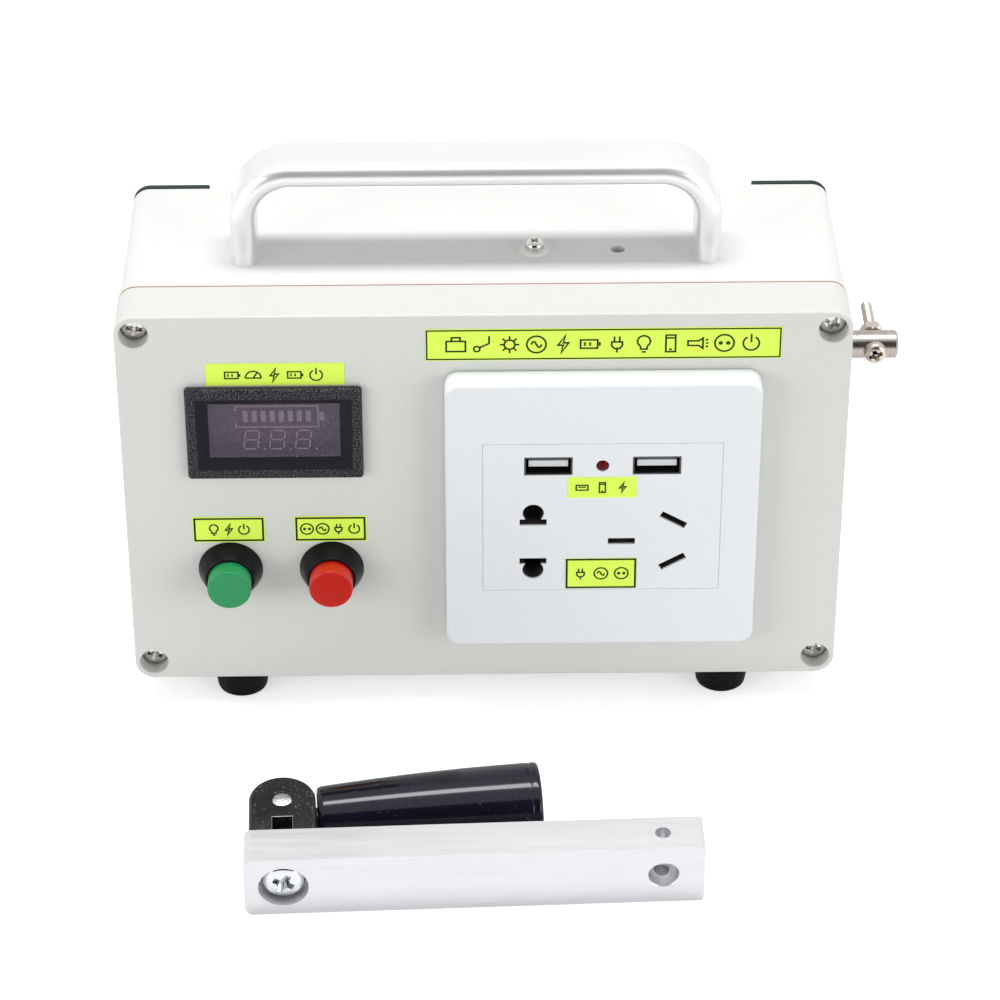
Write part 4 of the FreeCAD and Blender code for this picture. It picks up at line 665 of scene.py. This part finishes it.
# Each sign is drawn in a square of 2 by 2 as lines, each with True where it closes on itself.
SIGNS = {
    "box": [([(-0.9, -0.7), (0.9, -0.7), (0.9, 0.4), (-0.9, 0.4)], True),
            ([(-0.4, 0.4), (-0.4, 0.8), (0.4, 0.8), (0.4, 0.4)], False)],
    "crank": [(arc((-0.55, -0.45), 0.28), True), ([(-0.3, -0.3), (0.6, 0.15)], False),
              ([(0.6, 0.15), (0.6, 0.95)], False)],
    "gear": [(arc((0, 0), 0.5), True)] + [([(0.55 * math.cos(turn), 0.55 * math.sin(turn)),
                                            (0.92 * math.cos(turn), 0.92 * math.sin(turn))], False)
                                           for turn in (step * math.pi / 4 for step in range(8))],
    "wave": [(arc((0, 0), 0.9), True),
             ([(-0.5, 0), (-0.35, 0.28), (-0.15, 0.28), (0.15, -0.28), (0.35, -0.28), (0.5, 0)], False)],
    "spark": [([(0.2, 0.95), (-0.5, -0.1), (0.0, -0.1), (-0.2, -0.95), (0.5, 0.15), (0.0, 0.15)], True)],
    "cell": [([(-0.9, -0.45), (0.7, -0.45), (0.7, 0.45), (-0.9, 0.45)], True), ([(0.9, -0.2), (0.9, 0.2)], False),
             ([(-0.5, -0.2), (-0.5, 0.2)], False), ([(0.0, -0.2), (0.0, 0.2)], False)],
    "plug": [([(-0.5, 0.2), (0.5, 0.2), (0.5, -0.2), (0.25, -0.5), (-0.25, -0.5), (-0.5, -0.2)], True),
             ([(-0.25, 0.2), (-0.25, 0.8)], False), ([(0.25, 0.2), (0.25, 0.8)], False),
             ([(0, -0.5), (0, -0.95)], False)],
    "bulb": [(arc((0, 0.25), 0.6, -60, 240), False), ([(-0.3, -0.3), (-0.3, -0.6), (0.3, -0.6), (0.3, -0.3)], False),
             ([(-0.2, -0.9), (0.2, -0.9)], False)],
    "phone": [([(-0.45, -0.9), (0.45, -0.9), (0.45, 0.9), (-0.45, 0.9)], True),
              ([(-0.15, -0.65), (0.15, -0.65)], False), ([(-0.45, 0.6), (0.45, 0.6)], False)],
    "torch": [([(-0.9, -0.25), (0.1, -0.25), (0.5, -0.55), (0.5, 0.55), (0.1, 0.25), (-0.9, 0.25)], True),
              ([(0.75, 0.3), (0.98, 0.42)], False), ([(0.78, 0), (1.0, 0)], False),
              ([(0.75, -0.3), (0.98, -0.42)], False)],
    "socket": [(arc((0, 0), 0.9), True), (arc((-0.35, 0), 0.12, steps=8), True), (arc((0.35, 0), 0.12, steps=8), True)],
    "power": [(arc((0, -0.05), 0.75, 120, 420), False), ([(0, 0.05), (0, 0.95)], False)],
    "gauge": [(arc((0, -0.4), 0.95, 0, 180), False), ([(-0.95, -0.4), (0.95, -0.4)], False),
              ([(0, -0.4), (0.45, 0.3)], False)],
    "port": [([(-0.9, -0.45), (0.9, -0.45), (0.9, 0.45), (-0.9, 0.45)], True), ([(-0.6, 0.1), (0.6, 0.1)], False)],
}


def print_signs(shape, names, ends, up, front, tall, line):
    """Prints signs in an even row between two ends, all as tall as one another."""
    step = (ends[1] - ends[0]) / (len(names) - 1)
    for at, name in enumerate(names):
        for points, closed in SIGNS[name]:
            ribbon(shape, [(ends[0] + at * step + x * tall / 2, up + z * tall / 2) for x, z in points], line,
                   (front - 0.03, front + 0.02), closed)


def print_border(shape, across, up, front, width, height, inset, line):
    """Prints a frame a little inside a sticker's edge."""
    half, tall = width / 2 - inset - line / 2, height / 2 - inset - line / 2
    ribbon(shape, [(across - half, up - tall), (across + half, up - tall), (across + half, up + tall),
                   (across - half, up + tall)], line, (front - 0.03, front + 0.02), True)


ON_LID, ON_PLATE = -0.2, PLATE_FRONT - 0.2
borders = bmesh.new()
print_border(borders, PLATE_ACROSS, 110.7, ON_LID, 96.6, 9.8, 0.2, 0.42)
print_border(borders, -71.4, 51.2, ON_LID, 20.2, 8.4, 0.3, 0.56)
print_border(borders, -43.0, 51.2, ON_LID, 20.2, 8.4, 0.3, 0.56)
print_border(borders, PLATE_ACROSS, 40.55, ON_PLATE, 19.8, 10.1, 0.06, 0.56)
finished("label_borders", borders, ink, "generator_box")
signs = bmesh.new()
print_signs(signs, ("box", "crank", "gear", "wave", "spark", "cell", "plug", "bulb", "phone", "torch", "socket",
                    "power"), (-7.6, 72.4), 110.7, ON_LID, 5.8, 0.52)
print_signs(signs, ("cell", "gauge", "spark", "cell", "power"), (-68.4, -45.6), 101.7, ON_LID, 4.5, 0.44)
print_signs(signs, ("bulb", "spark", "power"), (-75.6, -67.2), 51.2, ON_LID, 3.9, 0.44)
print_signs(signs, ("socket", "wave", "plug", "power"), (-49.6, -36.4), 51.2, ON_LID, 3.9, 0.44)
print_signs(signs, ("port", "phone", "spark"), (26.8, 38.0), 69.25, ON_PLATE, 3.6, 0.42)
print_signs(signs, ("plug", "wave", "socket"), (26.7, 38.1), 40.55, ON_PLATE, 4.2, 0.44)
finished("label_signs", signs, pale_ink, "generator_box")


# ---------------------------------------------------------------- drive shaft
# The turned steel shaft that the crank fits on, in one piece with its planet carrier. Fine tool rings run round it,
# and handling has stained it in places.

steel = Finish("shaft_steel", Metallic=1.0)
rings = steel.noise(2600, 3, (1, 0.04, 0.04))
mottle = steel.noise(420, 4)
stain = steel.noise(110, 3).above(0.5, 0.12)
steel.feed("Base Color", steel.blend(steel.blend(tone(128, 122, 121), tone(206, 203, 200), rings * 0.5 + mottle * 0.5),
                                     tone(186, 168, 158), stain * 0.45))
steel.feed("Roughness", rings * 0.14 + mottle * 0.12 + 0.14)
steel.bump(rings * 0.7 + mottle * 0.3, 0.008 * MM)
dress(steel, "crank_shaft")


# ---------------------------------------------------------------- cross bolt
# A zinc-plated machine screw through the shaft, which the crank hooks over, with a real thread, a rounded tip and a
# chamfered hexagon nut drawn up against the shaft.

zinc = metal("bolt_zinc", tone(206, 197, 186), 0.26, per_metre=1500, depth=0.006 * MM)
TO_BACK = Matrix.Rotation(-math.pi / 2, 4, "X")
BOLT_ACROSS, SHAFT_RADIUS = 110.9, 4
BOLT = CASE @ moved(BOLT_ACROSS, SHAFT_BACK - SHAFT_RADIUS, SHAFT_UP) @ TO_FRONT
BOLT_LENGTH, BOLT_RADIUS, THREAD_PITCH = 26.6, 1.65, 0.7


def bolt_line(angle):
    """The bolt's outline at one angle: the thread winds once round for each pitch along it."""
    line = [(0, 0.5), (BOLT_RADIUS - 0.15, 0.5), (BOLT_RADIUS - 0.15, -7.0)]
    steps = int((BOLT_LENGTH - 7.6) / THREAD_PITCH * 8)
    for step in range(steps + 1):
        down = 7.2 + (BOLT_LENGTH - 7.9) * step / steps
        wave = abs((down / THREAD_PITCH + angle / (2 * math.pi)) % 1 * 2 - 1)
        tip = max(0.0, (down - BOLT_LENGTH + 1.4) / 0.9)
        line.append((BOLT_RADIUS - 0.02 - 0.2 * wave * (1 - min(1, tip)) - 0.45 * min(1, tip), -down))
    return [*line, (1.0, -BOLT_LENGTH + 0.1), (0, -BOLT_LENGTH)]


threaded = bmesh.new()
turned(threaded, bolt_line, BOLT, 24)
bmesh.ops.recalc_face_normals(threaded, faces=threaded.faces)
head = pan_screws.grow("cross_bolt_cut", [BOLT.translation], zinc, Head_Radius=3.2 * MM, Head_Height=2.5 * MM,
                       Shank_Radius=1.4 * MM, Shank_Length=1.5 * MM, Recess_Reach=0.64,
                       Turn=tuple(BOLT.to_euler()), Seed=2)
threaded.from_mesh(head.data)
bpy.data.objects.remove(head)
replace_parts(finished("cross_bolt_threaded", threaded, zinc, "drive_shaft"), "cross_bolt")


def nut_line(angle):
    """The nut's outline at one angle: flat faces, six corners, and the corners turned off to a cone at both ends."""
    flat = 3.16 / math.cos(angle % (math.pi / 3) - math.pi / 6)
    drop = max(0.0, flat - 3.11) * math.tan(math.radians(32))
    return [(1.7, 0.35), (1.7, 3.05), (2.05, 3.4), (3.08, 3.4), (flat, 3.39 - drop), (flat, drop + 0.01), (3.08, 0),
            (2.05, 0)]


hexagon = bmesh.new()
turned(hexagon, nut_line, CASE @ moved(BOLT_ACROSS, SHAFT_BACK + SHAFT_RADIUS, SHAFT_UP) @ TO_BACK, 72)
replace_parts(finished("cross_nut_chamfered", hexagon, zinc, "drive_shaft", 28), "cross_nut")


# ---------------------------------------------------------------- gearbox and generator
# One planetary stage in its ring, behind an alloy face plate with a ball bearing for the shaft. It drives a small
# permanent-magnet generator, whose pressed steel can holds the magnets.

dress(metal("gearbox_alloy", tone(170, 172, 176), 0.4), "gearbox_face")
dress(metal("bearing_steel", tone(200, 200, 202), 0.18), "shaft_bearing")
dress(metal("gear_steel", tone(150, 150, 152), 0.35, (0.1, 1, 1)), "gearbox_ring", "planet_gear_1", "planet_gear_2",
      "planet_gear_3", "rotor_shaft")
dress(metal("core_iron", tone(80, 80, 84), 0.5, (8, 0.2, 0.2), 300), "rotor_core")
dress(metal("can_steel", tone(150, 151, 154), 0.36, (0.1, 1, 1)), "generator_can")
dress(moulded("magnet_ferrite", tone(50, 50, 53), 0.55, 1500, 0.03 * MM, 0.15), "generator_magnets")


# ---------------------------------------------------------------- battery and inverter
# Four sleeved cells in a black tray on the floor of the case. Beside it stands the inverter board on four moulded
# posts, with its taped transformer and sleeved capacitors.

dress(moulded("tray_black", tone(40, 40, 42), 0.45), "battery_tray", "generator_end_cap")
dress(moulded("cell_sleeve", tone(32, 84, 150), 0.25, 700, 0.01 * MM), "battery_cells")
dress(moulded("coil_tape", tone(214, 186, 70), 0.3, 900, 0.02 * MM, 0.1), "inverter_transformer")
dress(moulded("capacitor_sleeve", tone(34, 40, 60), 0.25, 900, 0.01 * MM, 0.1), "inverter_capacitors")


# ---------------------------------------------------------------- lamp
# A clear acrylic lens with pressed rings, pushed into the left side by its barrel. Behind it stands a white board with
# seven light chips.

TO_LEFT = Matrix.Rotation(-math.pi / 2, 4, "Y")
LAMP = CASE @ moved(-99.5, 46, 84) @ TO_LEFT
lens_line = [(0, 1.5)]
for ring in range(1, 11):
    lens_line += [(ring - 0.5, 1.48 - 0.004 * ring * ring), (ring, 1.2 - 0.004 * ring * ring)]
lens_line += [(11.0, 0.98), (12.9, 0.9), (13.3, 0.75), (13.5, 0.45), (13.5, 0), (12.0, 0), (12.0, -6.0), (10.8, -6.0),
              (10.8, -0.3), (0, -0.3)]
lens = bmesh.new()
turned(lens, lens_line, LAMP, 72)
acrylic = moulded("lens_acrylic", tone(234, 240, 244), 0.1, 900, 0.002 * MM, 0.02, Alpha=0.38, Coat_Weight=0.4)
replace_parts(finished("lamp_lens_ringed", lens, acrylic, "generator_box", 20), "lamp_lens")
dress(moulded("lamp_white", tone(226, 226, 220), 0.4), "lamp_board")
spots = [(0, 0), *arc((0, 0), 6.6, steps=6)]
chips = block_row.grow("lamp_chips", [LAMP @ (Vector((*spot, -5.7)) * MM) for spot in spots],
                       moulded("chip_phosphor", tone(236, 208, 96), 0.35, 1500, 0.01 * MM, 0.05), Count=1,
                       Pitch=(0, 0, 0), Size=(0.7 * MM, 2.8 * MM, 2.8 * MM))
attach(chips, "generator_box")


# ---------------------------------------------------------------- crank bar
# A square aluminium bar, drawn and then brushed along its length, its edges just broken. A bright chrome screw in a
# counterbore holds the clevis on its back, and the bore and cross hole at the other end fit the drive shaft.

BAR_TURN, BAR_LEAN = math.radians(2), math.radians(4.536)
CRANK = CASE @ moved(-65, -96, -8) @ Matrix.Rotation(BAR_TURN, 4, "Z") @ Matrix.Rotation(BAR_LEAN, 4, "X")
FOLD = (10.5, 24.8, 9.75)

brushed = Finish("bar_brushed", Metallic=0.7)
along_bar = (0, 0, -BAR_TURN)
lines = brushed.noise(2400, 3, (0.02, 1, 1), along_bar)
broad = brushed.noise(240, 3, (0.05, 1, 1), along_bar)
cloudy = brushed.noise(30, 3)
brushed.feed("Base Color", brushed.blend(tone(200, 200, 204), tone(233, 233, 236), lines * 0.5 + broad * 0.3
                                         + cloudy * 0.2))
brushed.feed("Roughness", lines * 0.2 + broad * 0.1 + 0.2)
brushed.bump(lines * 0.7 + broad * 0.3, 0.014 * MM)
softened("crank_arm", "crank", 0.3, brushed)
chrome = metal("screw_chrome", tone(222, 224, 226), 0.12, depth=0.002 * MM, spread=0.08)
fasten("clevis_screw", "crank", [(FOLD[0], 5, FOLD[2])], (6, 3.8), (3, 11), 4, place=CRANK, reach=0.52, finish=chrome)


# ---------------------------------------------------------------- clevis and fold pin
# A flat-topped steel fork with a round end, machined and blackened, with bright metal where the notch's edges have
# worn. The grip folds on a steel pin that is riveted over at both ends.

blackened = Finish("clevis_blackened", Metallic=0.55, Coat_Weight=0.25)
scuff = blackened.noise(1500, 4)
cloudy = blackened.noise(160, 4)
worn = (scuff * 0.75 + cloudy * 0.25).above(0.63, 0.06)
blackened.feed("Base Color", blackened.blend(blackened.blend(tone(22, 20, 24), tone(52, 47, 54), cloudy),
                                             tone(150, 144, 148), worn * 0.6))
blackened.feed("Roughness", scuff * 0.2 + cloudy * 0.1 + 0.2)
blackened.bump(scuff, 0.02 * MM)
rubbed = metal("clevis_worn_edge", tone(214, 208, 210), 0.32, per_metre=1800, depth=0.01 * MM)


NOTCH_WIDE, NOTCH_BACK, NOTCH_LOW = 3.2, 18.4, 12


def notch_wear(spot):
    """1 for the edges of the notch, which are worn wider, and less for the rest."""
    place = (CRANK.inverted() @ spot) / MM
    return 1.0 if abs(place.x - FOLD[0]) < NOTCH_WIDE and place.y < NOTCH_BACK and place.z > NOTCH_LOW else 0.4


clevis = softened("handle_clevis", "crank", 0.5, blackened, chosen=notch_wear, edges=rubbed)
for face in clevis.data.polygons:
    if notch_wear(face.center) < 1:
        face.material_index = 0

hammered = Finish("pin_steel", Metallic=1.0)
dents = hammered.node("ShaderNodeTexVoronoi", {"feature": "SMOOTH_F1"}, {"Vector": hammered.spot(), "Scale": 1500.0,
                                                                        "Smoothness": 0.6}, "Distance")
cloudy = hammered.noise(500, 4)
hammered.feed("Base Color", hammered.blend(tone(160, 157, 162), tone(226, 223, 228), cloudy))
hammered.feed("Roughness", cloudy * 0.2 + 0.24)
hammered.bump(dents, 0.12 * MM)
rivet_line = [(0, 9.08), (0.8, 9.05), (1.6, 8.96), (2.3, 8.8), (2.72, 8.6), (2.85, 8.35)]
rivet_line += [(radius, -height) for radius, height in rivet_line[::-1]]
rivet = bmesh.new()
turned(rivet, rivet_line, CRANK @ moved(*FOLD), 40)
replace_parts(finished("fold_pin_riveted", rivet, hammered, "crank"), "fold_pin")


# ---------------------------------------------------------------- grip
# A slightly crowned sleeve of polished black phenolic that turns on a blackened spindle, with a fine line round it
# near its thick end. A screw at the bottom of its recess keeps it on.

GRIP = CRANK @ moved(*FOLD) @ Matrix.Rotation(math.radians(3), 4, "Z")
dress(metal("spindle_blackened", tone(70, 67, 72), 0.36, per_metre=1200), "grip_spindle")
phenolic = Finish("grip_phenolic", Specular_IOR_Level=0.3, Coat_Weight=0.15, Coat_Roughness=0.05)
swirl = phenolic.noise(60, 5, (0.25, 1, 1))
fleck = phenolic.noise(1600, 2).above(0.72, 0.04)
phenolic.feed("Base Color", phenolic.blend(phenolic.blend(tone(12, 9, 20), tone(26, 21, 38), swirl),
                                           tone(120, 112, 126), fleck * 0.3))
phenolic.feed("Roughness", swirl * 0.06 + 0.1)
phenolic.bump(phenolic.noise(220, 4, (0.3, 1, 1)), 0.012 * MM)
GRIP_START, GRIP_LENGTH = 9.4, 60.35


def grip_radius(share):
    """The crowned sleeve's radius, by the share of its length."""
    return 9.2 + 2.8 * share + 0.65 * math.sin(math.pi * share)


grip_line = [(3.56, 0.4), (3.9, 0.0), (8.2, 0.0), (8.6, 0.08), (8.92, 0.32)]
for step in range(1, 40):
    grip_line.append((grip_radius(step / 40) - 0.004, GRIP_LENGTH * step / 40))
grip_line = [point for point in grip_line if point[1] < 57.4]
grip_line += [(grip_radius(0.955) - 0.02, 57.6), (grip_radius(0.96) - 0.16, 57.85), (grip_radius(0.965) - 0.16, 58.0),
              (grip_radius(0.97) - 0.02, 58.25), (grip_radius(0.982), 59.2), (11.9, 59.65), (11.62, 60.05),
              (11.2, 60.28), (10.8, GRIP_LENGTH), (6.5, GRIP_LENGTH), (6.1, 60.2), (6.0, 59.9), (6.0, 53.35),
              (3.56, 53.35)]
sleeve = bmesh.new()
turned(sleeve, grip_line, GRIP @ moved(GRIP_START, 0, 0) @ TO_RIGHT, 96)
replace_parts(finished("grip_sleeve_crowned", sleeve, phenolic, "grip", 40), "grip_sleeve")
fasten("grip_screw", "spindle", [(62.9, 0, 0)], (5, 3), (2, 10), 6, TO_RIGHT, GRIP)


# ---------------------------------------------------------------- floor, light and camera
# A plain white sweep, three large soft lamps and a camera a little above the box, looking down at it. A dark card far
# in front, seen only by rays of gloss, stands for the unlit room in reflections: metal shows it as a dim band.

CAMERA_GLOW, FLOOR_GLOW, SKY_GLOW = 0.25, 0.28, 0.5
SENSOR, FOCAL_LENGTH, LOOK_DOWN = 36, 36 * 3.6153, 33.54


def flat_sheet(name, corners):
    """A flat sheet of the studio."""
    mesh = bpy.data.meshes.new(name)
    mesh.from_pydata(corners, [], [(0, 1, 2, 3)])
    sheet = placed(name, mesh)
    return sheet


def seen_rays(maker):
    """The camera's own rays, and these together with the rays of gloss and glass."""
    rays = maker.node("ShaderNodeLightPath", output="Is Camera Ray")
    return rays, rays.sum("MAXIMUM", rays.other("Is Glossy Ray").sum("MAXIMUM", rays.other("Is Transmission Ray")))


floor = flat_sheet("floor", [(-3, -3, 0), (3, -3, 0), (3, 3, 0), (-3, 3, 0)])
paper = Finish("white_sweep", Roughness=0.9)
paper.shader.inputs["Base Color"].default_value = (0.80, 0.80, 0.80, 1)
rays, seen = seen_rays(paper)
lit = paper.node("ShaderNodeEmission", None, {"Color": (1, 1, 1, 1), "Strength": rays * CAMERA_GLOW + FLOOR_GLOW})
plain = Value(paper, paper.shader.outputs["BSDF"])
both = paper.node("ShaderNodeAddShader", None, {0: plain, 1: lit})
mixed = paper.node("ShaderNodeMixShader", None, {0: seen, 1: plain, 2: both})
paper.tree.links.new(mixed.socket, paper.tree.nodes["Material Output"].inputs["Surface"])
floor.data.materials.append(paper.material)

card = flat_sheet("room_card", [(2.8, -2.4, 0.1), (-2.8, -2.4, 0.1), (-2.8, -2.4, 3.6), (2.8, -2.4, 3.6)])
dim = Finish("card_grey", Roughness=1.0, Specular_IOR_Level=0.0)
dim.shader.inputs["Base Color"].default_value = (0.02, 0.02, 0.02, 1)
# Rays of gloss see the dark card and all other rays pass through it, so it puts only a dark reflection into gloss.
rays = dim.node("ShaderNodeLightPath", output="Is Glossy Ray")
clear = dim.node("ShaderNodeBsdfTransparent")
mixed = dim.node("ShaderNodeMixShader", None, {0: rays, 1: clear, 2: Value(dim, dim.shader.outputs["BSDF"])})
dim.tree.links.new(mixed.socket, dim.tree.nodes["Material Output"].inputs["Surface"])
card.data.materials.append(dim.material)


def soft_lamp(name, place, aim, width, depth, watts):
    """A soft lamp that looks at a point."""
    light = bpy.data.lights.new(name, "AREA")
    light.shape, light.size, light.size_y, light.energy = "RECTANGLE", width, depth, watts
    lamp = placed(name, light)
    lamp.location = place
    lamp.rotation_euler = (Vector(aim) - Vector(place)).to_track_quat("-Z", "Y").to_euler()


soft_lamp("lamp_overhead", (0.0, 0.1, 1.5), (0, 0.1, 0.05), 1.3, 0.3, 16.4)
soft_lamp("lamp_left", (-1.3, -1.0, 0.5), (0, 0, 0.06), 0.9, 0.9, 8.5)
soft_lamp("lamp_right", (1.3, -1.0, 0.5), (0, 0, 0.06), 0.9, 0.9, 8.5)

world = bpy.data.worlds.new("studio")
bpy.context.scene.world = world
world.use_nodes = True
sky = Nodes()
sky.tree = world.node_tree
ground = sky.tree.nodes["Background"]
ground.inputs["Color"].default_value = (1, 1, 1, 1)
rays, seen = seen_rays(sky)
strength = sky.node("ShaderNodeMapRange", None, {"Value": seen, "To Min": SKY_GLOW, "To Max": 1.0})
sky.tree.links.new(strength.socket, ground.inputs["Strength"])

camera = placed("camera", bpy.data.cameras.new("camera"))
camera.data.sensor_width, camera.data.lens = SENSOR, FOCAL_LENGTH
camera.data.clip_start, camera.data.clip_end = 0.05, 20
camera.location = (-0.01635, -0.82718, 0.6239)
camera.rotation_euler = (math.radians(90 - LOOK_DOWN), math.radians(0.03), math.radians(-0.87))
bpy.context.scene.camera = camera
bpy.context.scene.view_settings.view_transform = "Standard"
